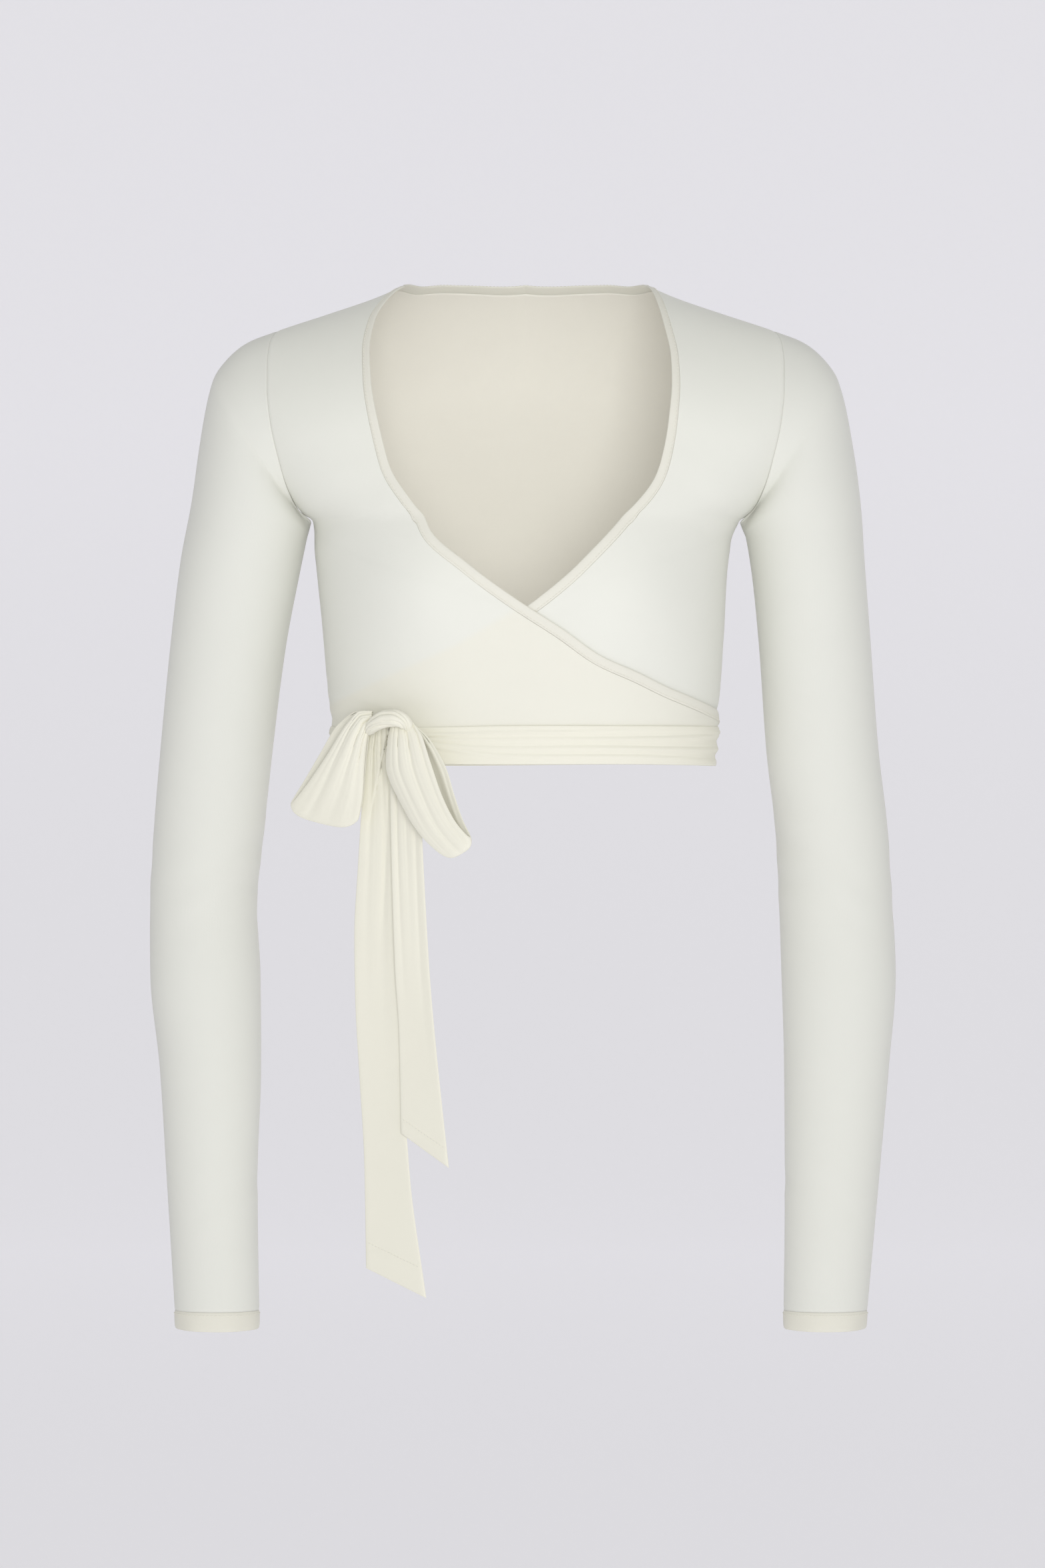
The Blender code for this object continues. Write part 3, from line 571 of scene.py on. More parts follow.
# the panels
panels = {
    "rows": 132,  # facets down a panel
    "columns": 120,
    "bindingWall": 0.0015,
    "neckBinding": 0.0064,
    "neckBindingTop": 0.0044,  # it narrows towards the shoulders
    "backBinding": 0.0080,
    "bindingWidens": (0.02, -0.14),  # between these heights
    "stitchRows": {"front": (0.80,), "back": (0.12, 0.84)},  # at these shares of a binding's width
    "seamGap": 0.0001,
    "sideGap": 0.0012,  # half the angle between the front and the back at a side seam
    "seamDip": 0.0004,  # how deep a seam sinks
    "seamWidth": 0.0012,
    "toneLineX": (-0.1250, -0.1131, -0.0830, -0.0428, -0.0087, 0.0058, 0.0200, 0.1500),
    "toneLineZ": (-0.2465, -0.2419, -0.2279, -0.2098, -0.1896, -0.1827, -0.1000, 0.1000),
    "toneSoftness": 0.0022,
}


def armholeLine(side, back, count, shift=0.0):
    x = [side * (value + shift) for value in armhole["x"]]
    return spaced(path(onForm(x, armhole["height"], back)), count)


def lapShare(x):
    return eased(*cloth["lapReach"], x)


def liftOf(which, x):
    return {"outer": lapShare(x), "under": lapShare(x) - 1, "back": 0 * x}[which] * cloth["lap"]


def onCloth(places, which):
    # points of the cloth at places on the form, with its laps and creases, and vectors out of it
    around, down = places[..., 0], places[..., 1]
    points = form(around, down)
    out = formNormals(around, down)
    x, y, z = points[..., 0], points[..., 1], points[..., 2]
    lift = liftOf(which, x) + creased(x, y, z, creases["body"])
    for height, width, depth in creases["waist"]:
        sides = eased(0.75, 1.0, np.abs(np.sin(around)))
        lift = lift + depth * bell(z - height - 0.002 * np.sin(5 * around), width) * sides
    return points + out * lift[..., None], out


def panel(name, places, which, seams, surface, tone=None):
    points, out = onCloth(places, which)
    dip = np.zeros(points.shape[:2])
    sides = {"first": points[:, :1], "last": points[:, -1:], "top": points[:1]}
    for seam in seams:
        apart = np.linalg.norm(points - sides[seam], axis=2)
        dip = np.maximum(dip, bell(apart, panels["seamWidth"]))
    points = points - out * (dip * panels["seamDip"])[..., None]
    values = {"tone": np.zeros(points.shape[:2]) if tone is None else tone(points)}
    return shell(name, points, out, cloth["wall"], surface, values=values)


def strip(name, edge, inner, which, stitchShares):
    # a rounded binding between two lines on the form, stitched at these shares of its width
    wall = panels["bindingWall"]
    across, thick = rounded(7)
    places = edge[:, None] + (inner - edge)[:, None] * across[None, :, None]
    points, out = onCloth(places, which)
    for share in stitchShares:
        laid, away = onCloth(edge + (inner - edge) * share, which)
        stitchLines.append(laid + away * (wall / 2 + stitches["thickness"] * stitches["proud"]))
    return shell(name, points, out, wall, bindingMaterial, thick=np.tile(thick, (len(edge), 1)),
                 values={"tone": np.ones(points.shape[:2])}, uvTurn=True)


def finer(count, ends=(True, True)):
    # shares along a side, closer together at the ends that have a seam
    at = np.linspace(0, 1, count)
    near = 0.02
    extra = np.linspace(0, near, 7)
    first = extra if ends[0] else at[at <= near]
    last = 1 - extra[::-1] if ends[1] else at[at >= 1 - near]
    return np.concatenate([first, at[(at > near) & (at < 1 - near)], last])


def readAt(line, shares):
    run = lengths(form(*line.T))
    return np.column_stack([np.interp(shares * run[-1], run, values) for values in line.T])


def outsideEdge(side, back):
    count = 240
    hole = armholeLine(side, back, count, -panels["seamGap"] / 2)
    seam = side * (pi / 2 - panels["sideGap"])
    seam = pi - seam if back else seam
    heights = np.linspace(armhole["height"][-1], body["hem"], count)
    line = np.concatenate([hole[:-1], atHeight(np.full(count, seam), heights)])
    middle, reach = pi if back else 0, pi / 2 - panels["sideGap"]
    line[:, 0] = np.clip(line[:, 0], middle - reach, middle + reach)
    line[0, 1] = body["shoulderSeam"]
    return line


def frontTone(points):
    line = np.interp(points[..., 0], panels["toneLineX"], panels["toneLineZ"])
    soft = panels["toneSoftness"]
    return eased(-soft, soft, line - points[..., 2]) * (points[..., 1] < 0)


def bindingWidth(line):
    wide = eased(*panels["bindingWidens"], form(*line.T)[:, 2])
    return panels["neckBindingTop"] + (panels["neckBinding"] - panels["neckBindingTop"]) * wide


def makeFront(name, bindingName, side, table, which, tone=None):
    line = neckLine(table)
    shares = finer(panels["rows"], (True, False))
    outside = readAt(outsideEdge(side, False), shares)
    edge = spaced(line, 280)
    covered = beside(edge, side * bindingWidth(edge))
    strip("visual_" + bindingName, edge, covered, which, panels["stitchRows"]["front"])
    inner = beside(line, side * (bindingWidth(line) + panels["seamGap"]))
    corner = atHeight(np.full(12, inner[-1, 0]), np.linspace(form(*inner[-1])[2], body["hem"], 13)[1:])
    inner = readAt(np.concatenate([inner, corner]), shares)
    across = finer(panels["columns"])[:, None]
    top = outside[0] + (inner[0] - outside[0]) * across
    low = outside[-1] + (inner[-1] - outside[-1]) * across
    bottom = atHeight(low[:, 0], np.full(len(across), body["hem"]))
    grid = filled(top, bottom, outside, inner, across[:, 0])
    panel("visual_" + name, grid, which, ("first", "top"), panelMaterial, tone)


def makeBack():
    edge = spaced(neckLine(backEdge, back=True), 161)
    lower = beside(edge, -panels["backBinding"])
    strip("visual_neck_binding_back", edge, lower, "back", panels["stitchRows"]["back"])
    lower = beside(edge, -(panels["backBinding"] + panels["seamGap"]))
    shares = finer(panels["rows"], (True, False))
    left, right = (readAt(outsideEdge(side, True), shares) for side in (1, -1))
    seam = np.linspace(0, 1, 31)[:, None]
    shoulders = left[0] + (lower[0] - left[0]) * seam[:-1], lower[-1] + (right[0] - lower[-1]) * seam[1:]
    top = np.concatenate([shoulders[0], lower, shoulders[1]])
    across = finer(panels["columns"] * 2)
    top = readAt(top, across)
    bottom = atHeight(left[-1, 0] + (right[-1, 0] - left[-1, 0]) * across, np.full(len(across), body["hem"]))
    grid = filled(top, bottom, left, right, across)
    panel("visual_back", grid, "back", ("first", "last"), panelMaterial)


makeBack()
makeFront("front_under", "neck_binding_under", 1, underEdge, "under")
makeFront("front_outer", "neck_binding_outer", -1, outerEdge, "outer", frontTone)
print("panels made")

# the sleeves
sleeves = {
    "rings": 190,
    "around": 112,
    "cuffHem": 0.0110,
    "cuffWall": 0.0016,
    "cuffBow": 0.0012,  # how far a cuff's hem bows down in front
    "cuffWave": 0.0003,
    "cuffStitch": 0.22,  # the stitched row's share of the way down the hem
    "underarmEase": 0.0012,  # how much farther out the sleeve starts under the arm
    "closeRows": (0.008, 0.006),  # rings are closer together this near the armhole and the hem
    "wrist": ((-0.64, -0.47), (-0.026, 0.0)),  # heights, and how far forward the middle is there
    "seamFade": 0.110,
    # rings down the sleeve: out and height of the outer and inner side, half the depth, and how far back
    "outerHeight": (-0.0100, -0.0175, -0.0285, -0.0400, -0.0706, -0.1210, -0.1546, -0.2050, -0.2722,
                    -0.3226, -0.3730, -0.4150, -0.4738, -0.5410, -0.6362),
    "outerRight": (0.1553, 0.1743, 0.1874, 0.1952, 0.2032, 0.2109, 0.2172, 0.2234, 0.2300, 0.2342, 0.2368,
                   0.2364, 0.2302, 0.2256, 0.2192),
    "outerLeft": (0.1553, 0.1742, 0.1872, 0.1950, 0.2037, 0.2112, 0.2134, 0.2172, 0.2222, 0.2280, 0.2314,
                  0.2331, 0.2285, 0.2222, 0.2130),
    "innerHeight": (-0.1315, -0.1318, -0.1323, -0.1330, -0.1350, -0.1400, -0.1640, -0.2090, -0.2750,
                    -0.3240, -0.3735, -0.4150, -0.4738, -0.5410, -0.6362),
    "innerRight": (0.1351, 0.1352, 0.1354, 0.1356, 0.1361, 0.1375, 0.1425, 0.1510, 0.1595, 0.1646, 0.1693,
                   0.1670, 0.1664, 0.1684, 0.1668),
    "innerLeft": (0.1351, 0.1352, 0.1354, 0.1357, 0.1364, 0.1385, 0.1425, 0.1470, 0.1517, 0.1572, 0.1598,
                  0.1611, 0.1626, 0.1628, 0.1615),
    "depth": (0.0530, 0.0515, 0.0500, 0.0488, 0.0470, 0.0440, 0.0412, 0.0378, 0.0352, 0.0344, 0.0342, 0.0338,
              0.0312, 0.0284, 0.0250),
    "forward": (0.000, 0.000, 0.000, -0.001, -0.002, -0.003, -0.003, -0.002, 0.000, 0.001, 0.000, -0.003,
                -0.008, -0.015, -0.026),
}


def sleeveRings(side, run, count):
    name = "Left" if side > 0 else "Right"
    wall = cloth["wall"] / 2
    outerX, innerX = np.array(sleeves["outer" + name]) - wall, np.array(sleeves["inner" + name]) + wall
    outerZ, innerZ = np.array(sleeves["outerHeight"]), np.array(sleeves["innerHeight"])
    knots = lengths(np.column_stack([outerX, outerZ]))
    columns = (outerX, outerZ, innerX, innerZ, sleeves["depth"], sleeves["forward"])
    ox, oz, ix, iz, depth, forward = (smooth(knots, values, run)[:, None] for values in columns)
    turn = np.linspace(0, 2 * pi, count, endpoint=False)[None]
    x = (ox + ix) / 2 + (ox - ix) / 2 * np.cos(turn)
    z = (oz + iz) / 2 + (oz - iz) / 2 * np.cos(turn)
    y = forward - (depth - wall) * np.sin(turn)
    points = np.stack(np.broadcast_arrays(side * x, y, z), axis=-1)
    centre = points.mean(axis=1, keepdims=True)
    return points, unit(points - centre), knots[-1]


def armholeRing(side, half):
    front, back = (form(*armholeLine(side, behind, half + 1).T) for behind in (False, True))
    ring = np.concatenate([front, back[-2:0:-1]])
    low = (1 - np.cos(np.linspace(0, 2 * pi, 2 * half, endpoint=False))) / 2
    ring[:, 0] += side * (panels["seamGap"] / 2 + sleeves["underarmEase"] * low**8)
    return ring


def makeSleeve(word, side):
    count = sleeves["around"]
    _, _, whole = sleeveRings(side, np.array([0.0]), count)
    end = whole - sleeves["cuffHem"] - panels["seamGap"]
    top, low = sleeves["closeRows"]
    middle = np.linspace(top, end - low, sleeves["rings"])
    run = np.concatenate([np.linspace(0, top, 9), middle[1:], np.linspace(end - low, end, 6)[1:]])
    points, out, _ = sleeveRings(side, run, count)
    first = points[0].copy()
    fade = 1 - eased(0, sleeves["seamFade"], run)
    points = points + (armholeRing(side, count // 2) - first) * fade[:, None, None]
    x, y, z = side * points[..., 0], points[..., 1], points[..., 2]
    lift = creased(x, y - np.interp(z, *sleeves["wrist"]), z, creases["sleeve"])
    dip = bell(run, panels["seamWidth"]) + 0.6 * bell(run - end, panels["seamWidth"])
    lift = lift - panels["seamDip"] * dip[:, None]
    points = points + out * lift[..., None]
    shell("visual_sleeve_" + word, points, out, cloth["wall"], sleevePaintedShadeMaterial, looped=True,
          values={"tone": np.zeros(points.shape[:2])})
    across, thick = rounded(7)
    cuff, out, _ = sleeveRings(side, whole - sleeves["cuffHem"] * (1 - across), count)
    turn = np.linspace(0, 2 * pi, count, endpoint=False)
    cuff[..., 2] -= sleeves["cuffBow"] * (np.sin(turn)[None] * across[:, None])
    cuff = cuff + out * sleeves["cuffWave"] * np.sin(7 * turn + 1)[None, :, None] * across[:, None, None]
    row = np.argmin(np.abs(across - sleeves["cuffStitch"]))
    ring = cuff[row] + out[row] * (sleeves["cuffWall"] / 2 + stitches["thickness"] * stitches["proud"])
    stitchLines.append(np.concatenate([ring, ring[:1]]))
    shell("visual_cuff_hem_" + word, cuff, out, sleeves["cuffWall"], cuffMaterial, looped=True,
          thick=np.tile(thick[:, None], (1, count)), values={"tone": np.zeros(cuff.shape[:2])})


makeSleeve("right", -1)
makeSleeve("left", 1)
print("sleeves made")

# the waist tie
tie = {
    "wall": 0.0012,
    "bottom": -0.2836,
    "top": -0.2592,
    "start": radians(-43.8),
    "clear": 0.0013,
    "steps": 420,
    "columns": 30,
    "endGap": 0.0012,  # half the angle left open at the knot
    "fold": 0.0011,
    "pinch": (0.0015, 0.0012),  # how far the top and the bottom draw in at the knot
    "pinchReach": (0.55, 0.45),  # the angles past the knot and short of it that this reaches
    "wave": 0.0005,
    "sideGather": 0.0006,
    "gathered": 0.80,  # the height share that the folds fan out from at the knot
    "fan": 0.42,
    # long folds: height share at the knot, on the far side and back at the knot, how deep, how wide
    "folds": ((0.62, 0.80, 0.60, 1.0, 0.055), (0.42, 0.48, 0.36, 1.2, 0.060), (0.30, 0.20, 0.50, 0.8, 0.045),
              (0.86, 0.93, 0.84, 0.6, 0.035)),
}


def makeTie():
    across, thick = rounded(tie["columns"], 0.03)
    turn = np.linspace(tie["endGap"], 2 * pi - tie["endGap"], tie["steps"])
    around = tie["start"] + turn
    past, before = tie["pinchReach"]
    near = np.maximum(bell(turn, past), bell(turn - 2 * pi, before))
    top = tie["top"] - tie["pinch"][0] * near
    bottom = tie["bottom"] + tie["pinch"][1] * near + tie["wave"] * np.sin(3 * around)
    heights = bottom[:, None] + across[None] * (top - bottom)[:, None]
    shape = heights.shape
    flat = np.repeat(around, shape[1])
    places = atHeight(flat, heights.ravel()).reshape(*shape, 2)
    points, out = form(places[..., 0], places[..., 1]), formNormals(places[..., 0], places[..., 1])
    lift = tie["clear"] + cloth["lap"] * lapShare(points[..., 0])
    share = across[None]
    middle = np.sin(turn / 2)[:, None]
    for begin, far, end, deep, width in tie["folds"]:
        line = (begin * (1 - turn / (2 * pi)) + end * turn / (2 * pi))[:, None]
        line = line + (far - (begin + end) / 2) * middle + 0.02 * np.sin(4 * turn + 9 * begin)[:, None]
        line = line + (tie["gathered"] - line) * 0.75 * bell(turn, tie["fan"])[:, None]
        uneven = (0.65 + 0.35 * np.sin(3 * turn + 20 * far))[:, None] + 0.9 * near[:, None]
        ridge = bell(share - line + width, width * 1.2) - 0.5 * bell(share - line, width * 0.5)
        lift = lift + tie["fold"] * deep * uneven * ridge
    sides = eased(0.92, 1.0, np.abs(np.sin(around)))[:, None]
    lift = lift + tie["sideGather"] * sides * np.sin(2 * pi * 2.5 * share + 0.8)
    points = points + out * lift[..., None]
    shell("visual_waist_tie", points, out, tie["wall"], tieMaterial, thick=np.tile(thick, (shape[0], 1)),
          values={"tone": np.ones(shape)}, uvTurn=True)


makeTie()
print("tie made")

# the bow
bow = {
    "place": (-0.0830, -0.0703),
    "turn": radians(30),
    "wall": 0.0013,
    "loopGrid": (54, 170),  # columns across a loop, and rows out and back
    "tailGrid": (48, 220),  # columns across a tie end, and rows down it
    "loopOut": 0.0152,
    "fold": 0.0022,
    "puff": 0.0026,  # how far a loop's middle swells
    "tailFold": 0.0014,
    "tailWave": 0.0010,
    "hem": 0.972,  # how far down a tie end its thicker hem starts, and where it is stitched
    "hemStitch": 0.968,
}
loops = {
    "bow_loop_left": {
        "leftX": (-0.0950, -0.1022, -0.1102, -0.1218, -0.1334, -0.1466),
        "leftZ": (-0.2505, -0.2505, -0.2580, -0.2765, -0.2945, -0.3130),
        "rightX": (-0.0960, -0.0975, -0.0985, -0.1000, -0.1012, -0.1058),
        "rightZ": (-0.2610, -0.2640, -0.2700, -0.2850, -0.3020, -0.3240),
        "half": (0.0022, 0.0042, 0.0052, 0.0062, 0.0068, 0.0066),
        "behind": (-0.0070, 0.0010),  # how far the back layer stands aside at its two edges
        "closed": (0.15, 0.75),  # how far the two layers close towards each other at the edges
        "valleys": ((0.16, 0.30, 1.0, 0.06), (0.50, 0.62, 1.1, 0.07), (0.78, 0.90, 0.7, 0.05)),
        "sag": 0.0012,
        "seed": 1.0,
    },
    "bow_loop_right": {
        "leftX": (-0.0830, -0.0852, -0.0868, -0.0770, -0.0672, -0.0530),
        "leftZ": (-0.2585, -0.2680, -0.2850, -0.3100, -0.3270, -0.3425),
        "rightX": (-0.0700, -0.0645, -0.0592, -0.0526, -0.0462, -0.0364),
        "rightZ": (-0.2570, -0.2650, -0.2820, -0.3030, -0.3180, -0.3325),
        "half": (0.0022, 0.0042, 0.0052, 0.0062, 0.0068, 0.0066),
        "behind": (0.0088, 0.0100),
        "closed": (0.80, 0.15),
        "valleys": ((0.36, 0.20, 0.6, 0.05), (0.60, 0.54, 1.1, 0.06), (0.88, 0.86, 0.6, 0.05)),
        "sag": 0.0008,
        "seed": 3.4,
    },
}
tails = {
    "tie_tail_long": {
        "leftX": (-0.0960, -0.0992, -0.1012, -0.1042, -0.1066, -0.1060, -0.1034, -0.1004, -0.0992),
        "leftZ": (-0.2600, -0.2760, -0.3000, -0.3450, -0.3900, -0.4300, -0.4780, -0.5300, -0.5965),
        "rightX": (-0.0850, -0.0835, -0.0800, -0.0775, -0.0770, -0.0768, -0.0755, -0.0716, -0.0615),
        "rightZ": (-0.2600, -0.2760, -0.3000, -0.3450, -0.3900, -0.4300, -0.4800, -0.5400, -0.6135),
        "out": 0.0026,
        # broad folds: share across at the knot and at the tip, depth, and how far down they reach
        "valleys": ((0.30, 0.24, 0.8, 0.55), (0.90, 0.30, 1.1, 0.50), (0.60, 0.66, 0.8, 0.62),
                    (0.86, 0.84, 0.6, 0.40)),
        # an upper layer's edge: its share across at the knot, where it dies out, and height
        "overlap": (1.02, 0.35, 0.0016),
    },
    "tie_tail_short": {
        "leftX": (-0.0835, -0.0840, -0.0830, -0.0810, -0.0785, -0.0772),
        "leftZ": (-0.2680, -0.3000, -0.3500, -0.4100, -0.4500, -0.5120),
        "rightX": (-0.0700, -0.0655, -0.0630, -0.0592, -0.0552, -0.0474),
        "rightZ": (-0.2680, -0.3000, -0.3500, -0.4150, -0.4600, -0.5325),
        "out": 0.0062,
        "valleys": ((0.22, 0.24, 1.0, 0.62), (0.52, 0.48, 0.7, 0.50), (0.80, 0.76, 0.7, 0.75)),
        "overlap": (0.0, 0.01, 0.0),
    },
}
outward = np.array([-sin(bow["turn"]), -cos(bow["turn"]), 0.0])


def inBow(x, out, z):
    plane = bow["place"][1] - (x - bow["place"][0]) * tan(bow["turn"])
    return np.stack(np.broadcast_arrays(x, plane - out, z), axis=-1)


def valley(distance, width):
    return 1 / (1 + (distance / width) ** 2)


def fineFolds(u, at, seed):
    # narrow creases between the broad folds, unevenly spaced and deep
    fold = 0 * u * at
    for i in range(10):
        begin = (i + 0.5 + 0.35 * sin(5.1 * i + seed)) / 10
        line = begin + 0.07 * sin(3.3 * i + 2 * seed) * at
        fold = fold - (0.24 + 0.20 * sin(4.7 * i + seed)) * valley(u - line, 0.012 + 0.020 * at)
    return fold


def columnsOf(table, at):
    knots = np.linspace(0, 1, len(table["leftX"]))
    return [smooth(knots, table[label], at)[:, None] for label in ("leftX", "leftZ", "rightX", "rightZ")]


def makeLoop(name, table):
    columns, rows = bow["loopGrid"]
    across, thick = rounded(columns, 0.02)
    turn = np.linspace(0, pi, rows)
    u = across[None]
    at = np.sin(turn)[:, None] * (1 - 0.06 * np.abs(2 * u - 1) ** 5)
    knots = np.linspace(0, 1, len(table["half"]))
    labels = ("leftX", "leftZ", "rightX", "rightZ", "half")
    leftX, leftZ, rightX, rightZ, half = (smooth(knots, table[label], at) for label in labels)
    first, last = table["closed"]
    edges = first * np.clip(1 - 2 * u, 0, 1) ** 3 + last * np.clip(2 * u - 1, 0, 1) ** 3
    half = half * (1 - edges * np.abs(np.cos(turn))[:, None])
    behind = eased(0, pi, turn)[:, None]
    front = eased(-0.3, 0.3, np.cos(turn))[:, None]
    fold = 0.3 * np.sin(4 * u + 3 * at)
    for begin, end, deep, width in table["valleys"]:
        line = begin + (end - begin) * at + 0.015 * np.sin(6 * at + 9 * begin)
        fold = fold - deep * valley(u - line, width * (0.55 + 0.9 * at)) * (1 - 0.45 * at**2)
    fold = fold + 0.75 * fineFolds(u, at, table["seed"]) * (1 - 0.6 * at)
    puff = bow["puff"] * np.sin(pi * u) ** 0.8 * np.sin(pi * np.clip(at, 0, 1) * 0.8)
    out = bow["loopOut"] + half * np.cos(turn)[:, None]
    out = out + (puff + bow["fold"] * fold * (1 - 0.3 * at)) * (2 * front - 1)
    begin, end = table["behind"]
    shift = (begin * (1 - u) + end * u) * behind * eased(0.05, 0.5, at)
    x = leftX + u * (rightX - leftX) + shift
    z = leftZ + u * (rightZ - leftZ) - table["sag"] * np.sin(pi * u) * at**4
    points = inBow(x, out, z)
    normals = np.cross(np.gradient(points, axis=0), np.gradient(points, axis=1))
    sign = 1 if np.sum(normals[10, 20] * outward) > 0 else -1
    return shell(name, points, normals * sign, bow["wall"], tieMaterial, thick=np.tile(thick, (len(turn), 1)),
                 values={"tone": np.ones(points.shape[:2])}, uvTurn=True)


def makeTail(name, table):
    columns, rows = bow["tailGrid"]
    across, thick = rounded(columns, 0.03)
    down, thin = rounded(rows, 0.004)
    leftX, leftZ, rightX, rightZ = columnsOf(table, down)
    u = across[None]
    at = down[:, None]
    fold = 0.3 * np.sin(4 * u + 1.5) * (1 - at)
    for begin, end, deep, reach in table["valleys"]:
        line = begin + (end - begin) * at + 0.015 * np.sin(9 * at + 7 * begin)
        fold = fold - deep * valley(u - line, 0.04 + 0.08 * at) * (1 - eased(0.4 * reach, reach * 1.3, at))
    fold = fold + 0.6 * fineFolds(u, at, table["out"] * 900) * (1 - eased(0.05, 0.55, at))
    edge, reach, height = table["overlap"]
    line = edge - 0.9 * at / reach * edge
    upper = height * (1 - eased(line - 0.03, line + 0.03, u)) * (1 - eased(0.6 * reach, reach, at))
    wave = bow["tailWave"] * np.sin(5.5 * at + 2.0 * u) * eased(0.2, 0.6, at)
    out = table["out"] + bow["tailFold"] * fold + upper + wave
    points = inBow(leftX + u * (rightX - leftX), out, leftZ + u * (rightZ - leftZ))
    hem = 0.85 + 0.55 * (at > bow["hem"])
    towards = np.broadcast_to(outward, points.shape)
    row = np.argmin(np.abs(down - bow["hemStitch"]))
    inside = points[row][(across > 0.04) & (across < 0.96)]
    stitchLines.append(inside + outward * (bow["wall"] * 0.46 + stitches["thickness"] * stitches["proud"]))
    return shell(name, points, towards, bow["wall"], tieMaterial, thick=thick[None] * thin[:, None] * hem,
                 values={"tone": np.ones(points.shape[:2])})


for label, table in loops.items():
    makeLoop("visual_" + label, table)
for label, table in tails.items():
    makeTail("visual_" + label, table)

knot = {
    "rows": 110,
    "columns": 96,
    # the middle of the wrap as it comes up, over and down behind: across, height, out from the bow's plane
    "x": (-0.0978, -0.0952, -0.0908, -0.0862, -0.0815, -0.0772, -0.0738, -0.0715),
    "z": (-0.2645, -0.2602, -0.2570, -0.2552, -0.2550, -0.2562, -0.2586, -0.2625),
    "out": (0.0150, 0.0200, 0.0232, 0.0245, 0.0245, 0.0232, 0.0200, 0.0150),
    "width": (0.0032, 0.0044, 0.0052, 0.0056, 0.0056, 0.0052, 0.0044, 0.0032),  # half, across the wrap
    "deep": (0.0034, 0.0044, 0.0054, 0.0058, 0.0058, 0.0052, 0.0044, 0.0034),
    "pleats": ((0.18, 1.0), (0.42, 0.8), (0.66, 1.0), (0.86, 0.7)),
    "pleatDepth": 0.2375,  # as a share of the roll's radius
}


def makeKnot():
    # a roll of cloth that arches over the roots of the loops, with pleats that twist along it
    rows, columns = knot["rows"], knot["columns"]
    at = 0.5 - 0.5 * np.cos(np.linspace(0, pi, rows))
    knots = np.linspace(0, 1, len(knot["x"]))
    x, z, out, width, deep = (smooth(knots, knot[label], at) for label in ("x", "z", "out", "width", "deep"))
    ends = np.sqrt(np.clip(1 - (2 * at - 1) ** 10, 0, 1))
    spine = inBow(x, out, z)
    along = unit(np.gradient(spine, axis=0))
    away = unit(outward - along * (along @ outward)[:, None])
    over = np.cross(along, away)
    turn = np.linspace(0, 2 * pi, columns, endpoint=False)
    share = (turn[None] / pi + 0.25 * (at[:, None] - 0.5)) % 2
    pleat = np.zeros((rows, columns))
    for place, size in knot["pleats"]:
        apart = np.abs(share - place - 0.06 * np.sin(7 * at[:, None] + 5 * place))
        pleat = pleat - size * valley(np.minimum(apart, 2 - apart), 0.045)
    radius = 1 + knot["pleatDepth"] * pleat
    wide = (width * ends)[:, None] * np.cos(turn) * radius
    high = (deep * ends)[:, None] * np.sin(turn) * radius
    points = spine[:, None] + over[:, None] * wide[..., None] + away[:, None] * high[..., None]
    index = np.arange(rows * columns).reshape(rows, columns)
    following = np.roll(index, -1, axis=1)
    quads = np.stack([index[:-1], following[:-1], following[1:], index[1:]], axis=-1).reshape(-1, 4)
    flat = points.reshape(-1, 3)
    a, b, c = (flat[quads[:, i]] for i in (0, 1, 2))
    if np.sum(np.cross(b - a, c - a) * (a - np.repeat(spine, columns, axis=0)[quads[:, 0]])) < 0:
        quads = quads[:, ::-1]
    uv = np.stack(np.broadcast_arrays(turn[None] * 0.009, at[:, None] * 0.04), axis=-1).reshape(-1, 2)
    made = makeMesh("visual_knot", flat, quads, tieMaterial, uv, {"tone": np.ones(len(flat))})
    mesh = bmesh.new()
    mesh.from_mesh(made.data)
    bmesh.ops.remove_doubles(mesh, verts=mesh.verts, dist=1e-6)
    mesh.to_mesh(made.data)
    mesh.free()
    made.data.shade_smooth()


makeKnot()
print("bow made")

makeStitches("visual_stitches")
print("stitches made")

# what each piece stands for, and how it was cut: width, length, area where it isn't a rectangle,
# how it is held and what it rests on
cuts = {
    "back": (0.380, 0.320, 0.112, "stretched", ()),
    "front_outer": (0.370, 0.310, 0.048, "stretched", ("visual_front_under",)),
    "front_under": (0.360, 0.310, 0.048, "stretched", ()),
    "neck_binding_back": (0.0105, 0.170, None, "stretched", ("visual_back",)),
    "neck_binding_outer": (0.0100, 0.420, None, "stretched", ("visual_front_outer",)),
    "neck_binding_under": (0.0100, 0.380, None, "stretched", ("visual_front_under",)),
    "sleeve_left": (0.235, 0.620, 0.122, "hung", ()),
    "sleeve_right": (0.235, 0.620, 0.122, "hung", ()),
    "cuff_hem_left": (0.0115, 0.160, None, "hung", ("visual_sleeve_left",)),
    "cuff_hem_right": (0.0115, 0.160, None, "hung", ("visual_sleeve_right",)),
    "waist_tie": (0.0255, 0.680, None, "gathered",
                  ("visual_front_outer", "visual_front_under", "visual_back")),
    "bow_loop_left": (0.038, 0.140, None, "gathered", ("visual_knot",)),
    "bow_loop_right": (0.038, 0.140, None, "gathered", ("visual_knot",)),
    "tie_tail_long": (0.032, 0.350, None, "hung", ("visual_knot",)),
    "tie_tail_short": (0.0245, 0.265, None, "hung", ("visual_knot",)),
}
for name, (width, length, area, held, restsOn) in cuts.items():
    made = bpy.data.objects["visual_" + name]
    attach(made, "root")
    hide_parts(name)
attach(bpy.data.objects["visual_knot"], "root")
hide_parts("knot")

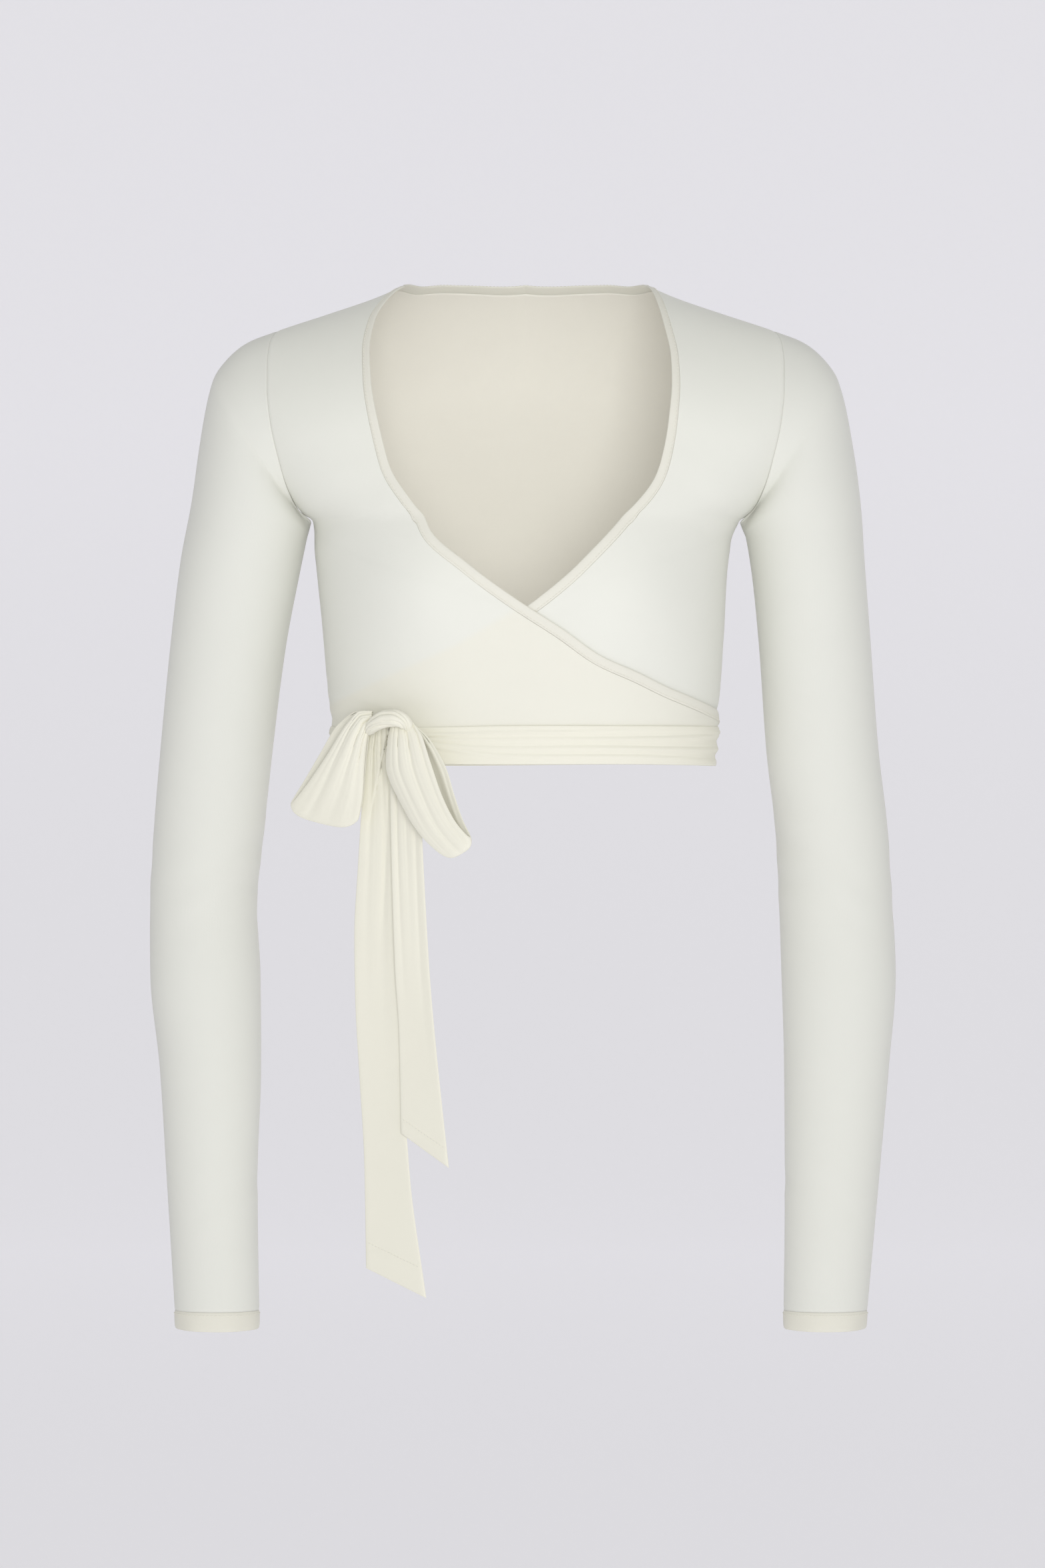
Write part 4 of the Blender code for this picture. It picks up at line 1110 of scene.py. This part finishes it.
# the studio
studio = {
    "distance": 4.5,
    "aim": (-0.0020, -0.2957),
    "frameHeight": 0.988,
    "sensor": 36.0,
    "floor": -1.05,
    "bend": 1.4,  # the floor's curve up into the wall behind, where it starts, and how far all of it reaches
    "back": 7.0,
    "reach": 12.0,
    "floorColour": (0.86, 0.853, 0.880, 1),
    "floorGlow": 0.250,
    "world": (1.0, 1.0, 1.0, 1),
    "worldStrength": 0.510,
    "lampPlace": (0.3, -4.2, -0.08),
    "lampAim": (0.0, 0.0, -0.28),
    "lampSize": 1.4,
    "lampPower": 68.0,
}


def makeStudio():
    floorPoints = []
    radius, back, reach = studio["bend"], studio["back"], studio["reach"]
    bend = np.linspace(0, pi / 2, 24)
    curve = [(back + radius * sin(a), radius * (1 - cos(a))) for a in bend]
    profile = [(-reach, 0.0), *curve, (back + radius, reach)]
    for x in (-reach, reach):
        floorPoints += [(x, y, studio["floor"] + z) for y, z in profile]
    count = len(profile)
    faces = [(i, i + count, i + count + 1, i + 1) for i in range(count - 1)]
    surface = bpy.data.materials.new("studioFloor")
    surface.use_nodes = True
    shader = surface.node_tree.nodes["Principled BSDF"]
    shader.inputs["Base Color"].default_value = studio["floorColour"]
    shader.inputs["Roughness"].default_value = 1.0
    shader.inputs["Specular IOR Level"].default_value = 0.0
    shader.inputs["Emission Color"].default_value = studio["floorColour"]
    shader.inputs["Emission Strength"].default_value = studio["floorGlow"]
    floor = makeMesh("studio_floor", floorPoints, faces, surface)
    data = bpy.data.lights.new("studio_front", "AREA")
    data.size = studio["lampSize"]
    data.energy = studio["lampPower"]
    lamp = bpy.data.objects.new("studio_front", data)
    bpy.context.scene.collection.objects.link(lamp)
    lamp.location = studio["lampPlace"]
    towards = Vector(studio["lampAim"]) - Vector(studio["lampPlace"])
    lamp.rotation_euler = towards.to_track_quat("-Z", "Y").to_euler()
    world = bpy.data.worlds.new("studio")
    world.use_nodes = True
    world.node_tree.nodes["Background"].inputs[0].default_value = studio["world"]
    world.node_tree.nodes["Background"].inputs[1].default_value = studio["worldStrength"]
    bpy.context.scene.world = world
    data = bpy.data.cameras.new("camera")
    data.sensor_width = studio["sensor"]
    data.lens = studio["sensor"] * studio["distance"] / studio["frameHeight"]
    camera = bpy.data.objects.new("camera", data)
    bpy.context.scene.collection.objects.link(camera)
    camera.location = (studio["aim"][0], -studio["distance"], studio["aim"][1])
    camera.rotation_euler = (pi / 2, 0, 0)
    bpy.context.scene.camera = camera


makeStudio()
bpy.context.scene.view_settings.view_transform = "Standard"
bpy.context.scene.view_settings.look = "None"
